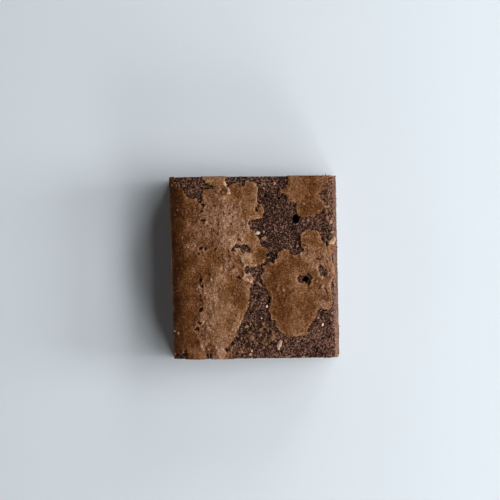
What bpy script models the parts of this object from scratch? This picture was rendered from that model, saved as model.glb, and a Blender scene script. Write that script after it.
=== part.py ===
"""A square of chocolate brownie, cut from a tray, as one solid with its broken top crust.

The cake is a box whose cuts lean outwards towards the base and whose top rolls down along
the left cut.  The papery crust is still in place over most of the top.  Each crust sheet is
a raised region of the top with its own outline, and the open crumb between the sheets lies
lower.  Two large air bubbles open in the top and smaller ones in the cuts.

Units are metres, +Z is up, and the origin is the middle of the base.  -Y is the front.
"""

import math
import random

import bmesh
import bpy
import numpy as np
from mathutils import Vector
from mathutils.noise import noise

MM = 0.001

# Driving dimensions of the cake.
WIDTH = 66.2 * MM
DEPTH = 71.4 * MM
CRUMB_HEIGHT = 27.0 * MM
CRUST_THICKNESS = 0.7 * MM
CORNER_RADIUS = 1.4 * MM

# Cells of the mesh, and how far a cell's corner may slide to meet the crust's outline.
CELLS_ACROSS = 40
CELLS_BACK = 43
SIDE_ROWS = 4
MOST_SLIDE = 0.42 * WIDTH / CELLS_ACROSS

# How far each cut leans in from the base to the top, at its two ends, anticlockwise.
FRONT_LEAN = (1.2 * MM, 0.4 * MM)
RIGHT_LEAN = (2.6 * MM, 1.8 * MM)
BACK_LEAN = (0.9 * MM, 0.5 * MM)
LEFT_LEAN = (0.7 * MM, 1.7 * MM)
CUT_WAVE = 0.3 * MM
CUT_WAVE_LENGTH = 9.0 * MM

# The top rolls down to the left cut, sags a little to the other cuts, and swells between.
FOLD_X = -20.0 * MM
FOLD_REACH = 12.0 * MM
FOLD_DROP = 0.55 * MM
ROLL_X = -25.5 * MM
ROLL_REACH = 6.5 * MM
ROLL_DROP = 2.5 * MM
EDGE_SAG = 0.4 * MM
EDGE_SAG_REACH = 4.2 * MM
SWELL_HEIGHT = 0.55 * MM
SWELL_X = -13.0 * MM
SWELL_REACH = 8.0 * MM
RIPPLE = 0.3 * MM
RIPPLE_LENGTH = 12.0 * MM
GRAIN = 0.22 * MM
GRAIN_LENGTH = 2.4 * MM

# Outlines of the crust sheets in plan, in millimetres.  They run past the cuts on purpose.
LEFT_SHEET = [
    (-36, -38), (-10.6, -38), (-10.2, -33), (-11.2, -30), (-9.2, -27.4), (-7.6, -24.3), (-5.7, -20.8),
    (-4.4, -16.4), (-3.3, -14.0), (-2.9, -9.0), (-1.8, -6.0), (-0.7, -4.4), (-1.8, -2.6), (-4.2, -1.3),
    (-3.4, 0.6), (-1.6, 0.7), (1.2, 1.3), (2.8, 3.2), (3.0, 5.2), (4.2, 6.4), (2.6, 7.6), (1.8, 10.2),
    (-0.4, 13.4), (-1.7, 16.2), (-1.4, 18.2), (1.8, 18.2), (3.7, 20.4), (3.0, 23.9), (1.3, 24.4),
    (1.1, 29.0), (0.6, 32.5), (-2.6, 32.9), (-4.6, 31.5), (-8.2, 32.2), (-9.7, 30.2), (-10.8, 33.2),
    (-11.6, 38), (-19.6, 38), (-18.4, 33.4), (-15.9, 30.3), (-19.8, 30.0), (-20.1, 25.3), (-22.6, 27.2),
    (-25.6, 27.6), (-27.2, 31.6), (-30.4, 32.8), (-31.0, 38), (-36, 38),
]
RIGHT_SHEET = [
    (2.5, -6.0), (2.4, 0.6), (4.2, 2.3), (6.4, 2.1), (8.2, 5.1), (10.2, 7.1), (12.8, 6.6), (14.8, 4.5),
    (18.6, 6.0), (17.5, 10.4), (19.4, 13.9), (23.6, 13.4), (25.2, 10.0), (27.6, 7.0), (29.4, 10.0),
    (36, 11.6), (36, 6.2), (30.0, 5.4), (29.4, 1.6), (30.2, -1.6), (28.9, -5.6), (28.9, -10.6),
    (29.0, -15.4), (27.4, -16.6), (23.4, -16.8), (22.4, -20.0), (20.0, -22.4), (18.2, -25.4),
    (14.6, -26.8), (10.0, -26.0), (7.6, -23.2), (6.6, -19.8), (4.8, -16.8), (5.1, -12.4), (4.4, -9.0),
]
BACK_SHEET = [
    (13.8, 38), (13.2, 32.0), (10.4, 28.9), (12.4, 26.6), (14.4, 23.9), (16.2, 23.2), (17.6, 19.8),
    (19.6, 18.8), (23.4, 19.8), (26.2, 22.4), (27.2, 25.6), (25.1, 28.2), (27.0, 31.6), (31.0, 32.4),
    (36, 32.2), (36, 38),
]
SHEETS = [LEFT_SHEET, RIGHT_SHEET, BACK_SHEET]

# Places inside the sheets where the crust has come away.
BARE_SPOTS = [
    [(-8.6, 6.6), (-7.4, 8.0), (-4.8, 8.8), (-2.8, 8.2), (-1.7, 6.6), (-4.8, 5.2), (-6.2, 6.8)],
    [(16.2, -4.4), (17.6, -3.1), (20.4, -2.7), (21.9, -4.8), (20.0, -7.3), (17.6, -5.8)],
    [(-31.6, -31.6), (-29.0, -32.4), (-26.2, -31.2), (-27.4, -38), (-31.6, -38)],
]

# Open air bubbles in the top: (x, y, width, depth), in millimetres.
TOP_BUBBLES = [(19.3, -4.9, 2.5, 3.4), (16.1, 18.5, 2.3, 3.0)]

# Open air bubbles in the cuts, drawn at random.
CUT_BUBBLES_EACH = 4
CUT_BUBBLE_WIDTH = (1.3 * MM, 3.2 * MM)
CUT_BUBBLE_MARGIN = 6.0 * MM
CUT_BUBBLE_HEIGHTS = (0.2 * CRUMB_HEIGHT, 0.8 * CRUMB_HEIGHT)
BUBBLE_SEED = 11

# A face whose normal is at least this upright belongs to the top.
UPRIGHT = 0.6

CRUST_COLOUR = (0.145, 0.060, 0.024, 1.0)
CRUST_ROUGHNESS = 0.65


def clear_scene():
    """Remove the objects that a new file opens with."""
    for obj in list(bpy.data.objects):
        bpy.data.objects.remove(obj, do_unlink=True)


def new_collection(name):
    """Make a collection in the scene."""
    collection = bpy.data.collections.new(name)
    bpy.context.scene.collection.children.link(collection)
    return collection


def closed_curve(points, steps=4):
    """Run a closed Catmull-Rom curve through plan points in millimetres, and return metres."""
    knots = [np.array(point, float) * MM for point in points]
    curve = []
    for i, start in enumerate(knots):
        before = knots[i - 1]
        end = knots[(i + 1) % len(knots)]
        after = knots[(i + 2) % len(knots)]
        for t in np.arange(steps) / steps:
            bend = 2 * before - 5 * start + 4 * end - after
            twist = 3 * start - before - 3 * end + after
            curve.append(0.5 * (2 * start + (end - before) * t + bend * t ** 2 + twist * t ** 3))
    return np.array(curve)


def distance_inside(outline, place):
    """Distance of a plan place to a closed outline, positive inside it and negative outside."""
    start = outline
    end = np.roll(outline, -1, axis=0)
    along = end - start
    offset = place - start
    share = np.clip((offset * along).sum(1) / (along ** 2).sum(1), 0.0, 1.0)
    distance = float(np.linalg.norm(offset - share[:, None] * along, axis=1).min())
    straddles = (start[:, 1] > place[1]) != (end[:, 1] > place[1])
    rise = np.where(straddles, along[:, 1], 1.0)
    crossing = start[:, 0] + offset[:, 1] / rise * along[:, 0]
    is_inside = np.count_nonzero(straddles & (place[0] < crossing)) % 2 == 1
    return distance if is_inside else -distance


SHEET_CURVES = [closed_curve(points) for points in SHEETS]
BARE_CURVES = [closed_curve(points) for points in BARE_SPOTS]


def crust_cover(place):
    """Distance of a plan place into the crust: positive under a sheet, negative on open crumb."""
    place = np.array(place[:2])
    cover = max(distance_inside(curve, place) for curve in SHEET_CURVES)
    return min([cover] + [-distance_inside(curve, place) for curve in BARE_CURVES])


def round_corner(x, y):
    """Pull a plan point of the block in, so that the block's upright edges are round."""
    over_x = abs(x) - (WIDTH / 2 - CORNER_RADIUS)
    over_y = abs(y) - (DEPTH / 2 - CORNER_RADIUS)
    if over_x <= 0.0 or over_y <= 0.0:
        return x, y
    pull = 1.0 - max(over_x, over_y) / math.hypot(over_x, over_y)
    return x - math.copysign(over_x * pull, x), y - math.copysign(over_y * pull, y)


def lean_in(x, y, height_share):
    """Move a plan point of the block in, as its cuts lean in with height."""
    across = x / WIDTH + 0.5
    back = y / DEPTH + 0.5
    left = LEFT_LEAN[0] + (LEFT_LEAN[1] - LEFT_LEAN[0]) * (1.0 - back)
    right = RIGHT_LEAN[0] + (RIGHT_LEAN[1] - RIGHT_LEAN[0]) * back
    front = FRONT_LEAN[0] + (FRONT_LEAN[1] - FRONT_LEAN[0]) * across
    rear = BACK_LEAN[0] + (BACK_LEAN[1] - BACK_LEAN[0]) * (1.0 - across)
    moved_x = x + height_share * (left * (1.0 - across) - right * across)
    moved_y = y + height_share * (front * (1.0 - back) - rear * back)
    return moved_x, moved_y


def crumb_height(x, y):
    """Height of the open crumb at a plan point."""
    fold = max(0.0, (FOLD_X - x) / FOLD_REACH)
    roll = max(0.0, (ROLL_X - x) / ROLL_REACH)
    height = CRUMB_HEIGHT - FOLD_DROP * fold ** 1.5 - ROLL_DROP * roll ** 2.2
    height += SWELL_HEIGHT * math.exp(-((x - SWELL_X) / SWELL_REACH) ** 2)
    height += RIPPLE * noise(Vector((x, y, 0.0)) / RIPPLE_LENGTH)
    to_cut = min(WIDTH / 2 - x, DEPTH / 2 - abs(y))
    return height - EDGE_SAG * max(0.0, 1.0 - to_cut / EDGE_SAG_REACH) ** 2


def face_looks_up(face):
    """Whether a face belongs to the top."""
    return face.normal.z > UPRIGHT


def make_block():
    """A closed block of cells: a grid for the top, its rim drawn down in rows, and one flat base."""
    block = bmesh.new()
    bmesh.ops.create_grid(block, x_segments=CELLS_ACROSS, y_segments=CELLS_BACK, size=0.5)
    for vert in block.verts:
        vert.co.z = 1.0
    rim = [edge for edge in block.edges if edge.is_boundary]
    for row in range(SIDE_ROWS):
        drawn = bmesh.ops.extrude_edge_only(block, edges=rim)["geom"]
        rim = [item for item in drawn if isinstance(item, bmesh.types.BMEdge)]
        rim = [edge for edge in rim if edge.is_boundary]
        for vert in {vert for edge in rim for vert in edge.verts}:
            vert.co.z = 1.0 - (row + 1) / SIDE_ROWS
    bmesh.ops.contextual_create(block, geom=rim)
    bmesh.ops.recalc_face_normals(block, faces=block.faces)
    return block


def shape_block(block):
    """Warp the unit block to the cake's own form, with cuts that wave a little above the base."""
    for vert in block.verts:
        share = vert.co.z
        on_cut = any(not face_looks_up(face) for face in vert.link_faces)
        x, y = round_corner(vert.co.x * WIDTH, vert.co.y * DEPTH)
        x, y = lean_in(x, y, share)
        place = Vector((x, y, share * crumb_height(x, y)))
        if on_cut and share > 0.0:
            outward = Vector((x / WIDTH, y / DEPTH, 0.0)).normalized()
            place += outward * CUT_WAVE * noise(place / CUT_WAVE_LENGTH)
        vert.co = place


def top_faces(block):
    """The faces of the block's top."""
    block.normal_update()
    return [face for face in block.faces if face_looks_up(face)]


def covered_faces(block):
    """The top faces under the crust, chosen so that no two of them touch at a corner alone."""
    top = set(top_faces(block))
    covered = {face for face in top if crust_cover(face.calc_center_median()) > 0.0}
    changed = True
    while changed:
        changed = False
        for vert in block.verts:
            around = [face for face in vert.link_faces if face in top]
            inside = [face for face in around if face in covered]
            shares_edge = len(inside) != 2 or set(inside[0].edges) & set(inside[1].edges)
            if len(around) == 4 and not shares_edge:
                covered.add(next(face for face in around if face not in covered))
                changed = True
    return covered


def snap_to_outline(covered):
    """Slide the corners of cells along the edge of the crust onto the sheets' outlines."""
    step = 0.05 * MM
    moves = []
    for vert in {vert for face in covered for vert in face.verts}:
        around = [face for face in vert.link_faces if face_looks_up(face)]
        if len(around) < 4 or all(face in covered for face in around):
            continue
        x, y = vert.co.xy
        cover = crust_cover((x, y))
        towards = Vector((crust_cover((x + step, y)) - cover, crust_cover((x, y + step)) - cover))
        if towards.length > 0.0:
            slide = max(-MOST_SLIDE, min(MOST_SLIDE, cover))
            moves.append((vert, -slide * towards.normalized()))
    for vert, move in moves:
        vert.co.xy += move


def raise_crust(block):
    """Lift the covered part of the top by the thickness of the crust."""
    covered = covered_faces(block)
    snap_to_outline(covered)
    lifted = bmesh.ops.extrude_face_region(block, geom=list(covered))["geom"]
    for vert in [item for item in lifted if isinstance(item, bmesh.types.BMVert)]:
        vert.co.z += CRUST_THICKNESS
    bmesh.ops.delete(block, geom=list(covered), context="FACES")


def roughen_top(block):
    """Give the top the fine unevenness of baked crumb."""
    for vert in {vert for face in top_faces(block) for vert in face.verts}:
        vert.co.z += GRAIN * noise(vert.co.copy() / GRAIN_LENGTH)


def crust_material():
    """Matt brown cake crust."""
    material = bpy.data.materials.new("brownie_crust")
    material.use_nodes = True
    shader = material.node_tree.nodes["Principled BSDF"]
    shader.inputs["Base Color"].default_value = CRUST_COLOUR
    shader.inputs["Roughness"].default_value = CRUST_ROUGHNESS
    shader.inputs["Metallic"].default_value = 0.0
    return material


def make_brownie(collection):
    """The cake as one closed mesh."""
    block = make_block()
    shape_block(block)
    raise_crust(block)
    roughen_top(block)
    bmesh.ops.recalc_face_normals(block, faces=block.faces)
    mesh = bpy.data.meshes.new("brownie")
    block.to_mesh(mesh)
    block.free()
    mesh.materials.append(crust_material())
    mesh.shade_smooth()
    mesh.set_sharp_from_angle(angle=math.radians(40.0))
    brownie = bpy.data.objects.new("brownie", mesh)
    collection.objects.link(brownie)
    return brownie


def make_bubble(collection, name, place, size, turn=0.0):
    """An egg-shaped cutter for one air bubble, turned about the upright axis."""
    bpy.ops.mesh.primitive_uv_sphere_add(segments=8, ring_count=6, radius=0.5, location=place)
    bubble = bpy.context.object
    bubble.name = name
    bubble.scale = size
    bubble.rotation_euler.z = turn
    bubble.hide_render = True
    bubble.display_type = "WIRE"
    for old in list(bubble.users_collection):
        old.objects.unlink(bubble)
    collection.objects.link(bubble)
    return bubble


def bubbles_in_top(collection):
    """The cutters of the bubbles that open in the top."""
    cutters = []
    for number, (x, y, width, depth) in enumerate(TOP_BUBBLES):
        surface = crumb_height(x * MM, y * MM)
        place = (x * MM, y * MM, surface - 0.25 * depth * MM)
        size = (width * MM, width * MM * 1.1, depth * MM * 1.5)
        cutters.append(make_bubble(collection, f"top_bubble_{number}", place, size))
    return cutters


def cut_surface(side, along, height):
    """The point of a cut at a distance along it from its middle, and at a height."""
    share = height / CRUMB_HEIGHT
    if side in ("left", "right"):
        return lean_in(math.copysign(WIDTH / 2, 1 if side == "right" else -1), along, share)
    return lean_in(along, math.copysign(DEPTH / 2, 1 if side == "back" else -1), share)


def bubbles_in_cuts(collection):
    """The cutters of the bubbles that open in the four cuts."""
    rng = random.Random(BUBBLE_SEED)
    cutters = []
    for side in ("front", "right", "back", "left"):
        reach = WIDTH / 2 - CUT_BUBBLE_MARGIN
        for number in range(CUT_BUBBLES_EACH):
            slot = (number + rng.uniform(0.2, 0.8)) / CUT_BUBBLES_EACH
            along = reach * (2.0 * slot - 1.0)
            height = rng.uniform(*CUT_BUBBLE_HEIGHTS)
            x, y = cut_surface(side, along, height)
            width = rng.uniform(*CUT_BUBBLE_WIDTH)
            size = [width * rng.uniform(0.75, 1.25) for _ in range(3)]
            turn = rng.uniform(0.0, math.pi)
            name = f"{side}_bubble_{number}"
            cutters.append(make_bubble(collection, name, (x, y, height), size, turn))
    return cutters


def cut_bubbles(brownie, cutters):
    """Cut every bubble out of the cake."""
    for cutter in cutters:
        modifier = brownie.modifiers.new(cutter.name, "BOOLEAN")
        modifier.operation = "DIFFERENCE"
        modifier.solver = "EXACT"
        modifier.object = cutter


def main():
    """Build the brownie."""
    clear_scene()
    parts = new_collection("chocolate_brownie")
    cutters = new_collection("cutters")
    brownie = make_brownie(parts)
    cut_bubbles(brownie, bubbles_in_top(cutters) + bubbles_in_cuts(cutters))


main()
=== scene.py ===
"""A square of chocolate brownie as it looks: open crumb, knife cuts and a broken papery crust.

The cake's body is one closed mesh whose top shows open crumb between the sheets of crust and
whose four sides are knife cuts with open pores.  Each sheet of crust is a thin closed shell with
a ragged rim that lies on the crumb.  Loose grains, flakes and crumbs lie on top.

Units are metres where nothing else is said, +Z is up, and the origin is the middle of the base.
-Y is the front.
"""

import itertools
import logging
import math
import random
from dataclasses import dataclass, field
from enum import Enum
from typing import Iterator

import bpy
import numpy as np
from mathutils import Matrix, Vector


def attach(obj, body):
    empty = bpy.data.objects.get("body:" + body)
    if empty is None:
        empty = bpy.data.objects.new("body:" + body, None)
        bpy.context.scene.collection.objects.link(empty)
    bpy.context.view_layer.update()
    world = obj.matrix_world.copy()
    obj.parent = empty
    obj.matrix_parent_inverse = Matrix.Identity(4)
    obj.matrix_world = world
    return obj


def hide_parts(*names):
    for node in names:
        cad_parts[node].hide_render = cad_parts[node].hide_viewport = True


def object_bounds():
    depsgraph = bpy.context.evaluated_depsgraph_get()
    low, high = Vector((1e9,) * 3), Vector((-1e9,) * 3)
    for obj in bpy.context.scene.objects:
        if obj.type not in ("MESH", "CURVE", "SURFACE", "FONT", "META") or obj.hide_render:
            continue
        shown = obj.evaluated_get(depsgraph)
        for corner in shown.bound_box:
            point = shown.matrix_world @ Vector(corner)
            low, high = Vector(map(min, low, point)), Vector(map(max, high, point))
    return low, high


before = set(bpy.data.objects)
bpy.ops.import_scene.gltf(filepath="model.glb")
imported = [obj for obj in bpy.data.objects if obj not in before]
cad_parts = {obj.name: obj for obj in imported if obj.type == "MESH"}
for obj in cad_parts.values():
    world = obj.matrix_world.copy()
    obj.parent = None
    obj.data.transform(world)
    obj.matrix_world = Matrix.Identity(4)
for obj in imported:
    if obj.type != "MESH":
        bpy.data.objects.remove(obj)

CAD_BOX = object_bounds()
NODE = "brownie"
BODY = "root"
MM = 0.001
Plan = tuple[float, float]
Range = tuple[float, float]
Colour = tuple[float, float, float]
Array = np.ndarray
Socket = bpy.types.NodeSocket

log = logging.getLogger("brownie")


class Slot(Enum):
    """The record's material slots."""

    CRUST = "crust"
    CRUMB = "crumb"


# Random unevenness


HASH_PRIMES = (73856093, 19349663, 83492791)
HASH_SEED_FACTOR = 0x9E3779B1
HASH_MIXES = ((16, 0x7FEB352D), (15, 0x846CA68B), (16, 1))
HASH_TOP = 0xFFFFFFFF
SLOPE_SEEDS = 101
CENTRE_SEEDS = 37
MARK_SEED = 211
WAVE_GAIN = 1.4
FAR = 9.0
SMALLEST_PORE = 0.35
TINY = 1e-6


def hashed(cells: Array, seed: int) -> Array:
    """Give each whole-number lattice cell its own random number.

    Args:
        cells: Whole numbers, three to a cell.
        seed: Picks one of many sets of numbers.

    Returns:
        One number from 0 to 1 for each cell.
    """
    whole = cells.astype(np.int64).astype(np.uint32)
    value = np.uint32(seed * HASH_SEED_FACTOR & HASH_TOP)
    for axis, prime in enumerate(HASH_PRIMES):
        value = value ^ (whole[..., axis] * np.uint32(prime))
    for shift, factor in HASH_MIXES:
        value = (value ^ (value >> np.uint32(shift))) * np.uint32(factor)
    return value / float(HASH_TOP)


@dataclass(frozen=True)
class Waves:
    """Smooth random waves through space, from about minus their height to their height."""

    seed: int
    length: float
    octaves: int = 1
    height: float = 1.0

    def at(self, points: Array) -> Array:
        """The waves' height at each point.

        Args:
            points: Places.

        Returns:
            One height for each place.
        """
        total = np.zeros(len(points))
        for octave in range(self.octaves):
            total += self._single(points / self.length * 2.0 ** octave, self.seed + octave) / 2 ** octave
        return self.height * total

    def over(self, x: Array, y: Array) -> Array:
        """The waves' height over each plan place."""
        return self.at(plan_points(x, y))

    @staticmethod
    def _single(points: Array, seed: int) -> Array:
        """One octave of gradient noise.

        Args:
            points: Places, in lattice cells.
            seed: Picks the gradients.

        Returns:
            One height for each place.
        """
        base = np.floor(points)
        inside = points - base
        fade = inside ** 3 * (inside * (inside * 6.0 - 15.0) + 10.0)
        total = np.zeros(len(points))
        for corner in itertools.product((0, 1), repeat=3):
            cell = base + corner
            offset = inside - corner
            slope = sum((2.0 * hashed(cell, seed + SLOPE_SEEDS * k) - 1.0) * offset[:, k] for k in range(3))
            total += slope * np.prod(np.where(corner, fade, 1.0 - fade), axis=1)
        return WAVE_GAIN * total


@dataclass(frozen=True)
class Cells:
    """Random points through space, one to a cell, as grains and pores have them."""

    seed: int
    spacing: float

    def nearest(self, points: Array) -> tuple[Array, Array, Array]:
        """Find the nearest random point to each place.

        Args:
            points: Places.

        Returns:
            The distance to the nearest point and to the next one, in spacings, and the nearest
            point's own random number.
        """
        places = points / self.spacing
        base = np.floor(places)
        first = np.full(len(points), FAR)
        second = first
        mark = np.zeros(len(points))
        for step in itertools.product((-1, 0, 1), repeat=3):
            cell = base + step
            shift = np.stack([hashed(cell, self.seed + CENTRE_SEEDS * k) for k in range(3)], axis=1)
            distance = np.linalg.norm(places - (cell + shift), axis=1)
            closer = distance < first
            second = np.where(closer, first, np.minimum(second, distance))
            first = np.where(closer, distance, first)
            mark = np.where(closer, hashed(cell, self.seed + MARK_SEED), mark)
        return first, second, mark

    def bumps(self, points: Array) -> Array:
        """Rounded grains with creases between them, from 0 in a crease to 1 on a grain."""
        first, second, _ = self.nearest(points)
        return np.clip(second - first, 0.0, 1.0)


@dataclass(frozen=True)
class Grains(Cells):
    """Rounded grains as relief: their height in metres, and the share of it that counts as level."""

    height: float
    level: float = 0.45

    def at(self, points: Array) -> Array:
        """The grains' height at each place, in metres."""
        return self.height * (self.bumps(points) - self.level)


@dataclass(frozen=True)
class Pores(Cells):
    """Round open pores of many sizes, in a share of the cells."""

    depth: float
    share: float
    widest: float

    def at(self, points: Array) -> Array:
        """The pores' depth at each place, in metres, and 0 outside them.

        Args:
            points: Places.

        Returns:
            One depth for each place.
        """
        first, _, mark = self.nearest(points)
        radius = self.widest * rising(SMALLEST_PORE, 1.0 - mark / self.share)
        hollow = np.sqrt(np.clip(1.0 - (first / np.maximum(radius, TINY)) ** 2, 0.0, 1.0))
        return np.where(mark < self.share, self.depth * hollow * radius / self.widest, 0.0)


def rising(least: float, share: Array) -> Array:
    """A number that rises from its least to 1 as a share rises from 0 to 1."""
    return least + (1.0 - least) * share


def between(ends: Range, share: Array) -> Array:
    """A number that runs from one end to the other as a share rises from 0 to 1."""
    return ends[0] + (ends[1] - ends[0]) * share


def plan_points(x: Array, y: Array, z: float = 0.0) -> Array:
    """Places at one level, from their plan coordinates."""
    return np.stack([x, y, np.full_like(x, z)], axis=1)


@dataclass(frozen=True)
class Wrinkles:
    """A net of sharp-crested wrinkles in plan, drawn out along one direction."""

    seed: int
    length: float
    width: float
    height: float
    level: float
    turn: float = 0.0
    sharpness: float = 2.6

    def at(self, x: Array, y: Array) -> Array:
        """The wrinkles' height above their level at each plan place, in metres.

        Args:
            x: Places across.
            y: Places back.

        Returns:
            One height for each place.
        """
        turn = math.radians(self.turn)
        along = (x * math.cos(turn) + y * math.sin(turn)) / self.length
        across = (y * math.cos(turn) - x * math.sin(turn)) / self.width
        waves = Waves(self.seed, 1.0).at(plan_points(along, across))
        return self.height * (np.clip(1.0 - self.sharpness * np.abs(waves), 0.0, 1.0) - self.level)


@dataclass(frozen=True)
class Ledges:
    """Low steps between thin layers, along wandering lines, each step with a raised lip."""

    seed: int
    length: float
    levels: tuple[float, ...] = (-0.42, -0.16, 0.10, 0.36)
    softness: float = 0.035
    lip: float = 0.5
    lip_width: float = 1.6

    def at(self, x: Array, y: Array) -> Array:
        """How many steps up each plan place lies, counted from the middle.

        Args:
            x: Places across.
            y: Places back.

        Returns:
            One number of steps for each place.
        """
        waves = Waves(self.seed, self.length, 3).over(x, y)
        steps = np.full(x.shape, -0.5 * len(self.levels))
        for level in self.levels:
            above = waves - level
            steps += smooth_step(above, -self.softness, self.softness)
            steps += self.lip * np.exp(-((above / self.softness - 1.0) / self.lip_width) ** 2)
        return steps


def smooth_step(value: Array, low: float, high: float) -> Array:
    """0 below low, 1 above high and a smooth rise between them."""
    share = np.clip((value - low) / (high - low), 0.0, 1.0)
    return share * share * (3.0 - 2.0 * share)


def beside_line(x: Array, y: Array, start: Plan, end: Plan) -> Array:
    """The squared distance of plan places to the straight line between two points.

    Args:
        x: Places across.
        y: Places back.
        start: The line's first point, in metres.
        end: Its other point, in metres.

    Returns:
        One squared distance for each place.
    """
    across = end[0] - start[0]
    back = end[1] - start[1]
    share = ((x - start[0]) * across + (y - start[1]) * back) / (across ** 2 + back ** 2)
    share = np.clip(share, 0.0, 1.0)
    return (x - start[0] - share * across) ** 2 + (y - start[1] - share * back) ** 2


# The cake's form


@dataclass(frozen=True)
class Oval:
    """An oval on the top, in millimetres: its middle and half its width each way."""

    x: float
    y: float
    across: float
    back: float

    def reach(self, x: Array, y: Array) -> Array:
        """How far plan places lie from the middle, squared, with 1 on the oval's line."""
        return ((x / MM - self.x) / self.across) ** 2 + ((y / MM - self.y) / self.back) ** 2


@dataclass(frozen=True)
class Spot(Oval):
    """A soft spot with a strength at its middle."""

    strength: float

    def at(self, x: Array, y: Array) -> Array:
        """The spot's strength at each plan place."""
        return self.strength * np.exp(-self.reach(x, y))


@dataclass(frozen=True)
class Dent(Oval):
    """A small steep-walled pit with a depth in millimetres and a low raised lip round it."""

    depth: float
    lip_share: float = 0.15
    lip_place: float = 1.3
    lip_width: float = 0.28

    def at(self, x: Array, y: Array) -> Array:
        """The pit's depth at each plan place, in metres."""
        return self.depth * MM * np.clip(1.0 - self.reach(x, y) ** 2, 0.0, 1.0)

    def lip(self, x: Array, y: Array) -> Array:
        """The height of the lip at each plan place, in metres."""
        past_lip = (np.sqrt(self.reach(x, y)) - self.lip_place) / self.lip_width
        return self.lip_share * self.depth * MM * np.exp(-past_lip ** 2)


@dataclass(frozen=True)
class Outline:
    """A closed outline in plan, run smoothly through points in millimetres."""

    points: tuple[Plan, ...]
    steps: int = 3

    def curve(self) -> Array:
        """The outline as a fine polygon, in metres, by the Catmull-Rom formula.

        Returns:
            One row for each point of the polygon.
        """
        knots = [np.array(point, float) * MM for point in self.points]
        places = []
        for i, start in enumerate(knots):
            before = knots[i - 1]
            end = knots[(i + 1) % len(knots)]
            after = knots[(i + 2) % len(knots)]
            for t in np.arange(self.steps) / self.steps:
                bend = 2 * before - 5 * start + 4 * end - after
                twist = 3 * start - before - 3 * end + after
                places.append(0.5 * (2 * start + (end - before) * t + bend * t ** 2 + twist * t ** 3))
        return np.array(places)

    def inside(self, x: Array, y: Array) -> Array:
        """Measure how far plan places lie inside the outline.

        Args:
            x: Places across.
            y: Places back.

        Returns:
            The distance to the outline, positive inside it and negative outside.
        """
        nearest = np.full(x.shape, 1.0)
        within = np.zeros(x.shape, bool)
        curve = self.curve()
        for (x0, y0), (x1, y1) in zip(curve, np.roll(curve, -1, axis=0)):
            nearest = np.minimum(nearest, beside_line(x, y, (x0, y0), (x1, y1)))
            if y1 != y0:
                within ^= ((y0 > y) != (y1 > y)) & (x < x0 + (y - y0) / (y1 - y0) * (x1 - x0))
        return np.where(within, 1.0, -1.0) * np.sqrt(nearest)


RIGHT_CUT = ((1, -1), (1, 1))
ROUND_REACH = 0.71
ROUND_DEPTH = 0.29


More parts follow.
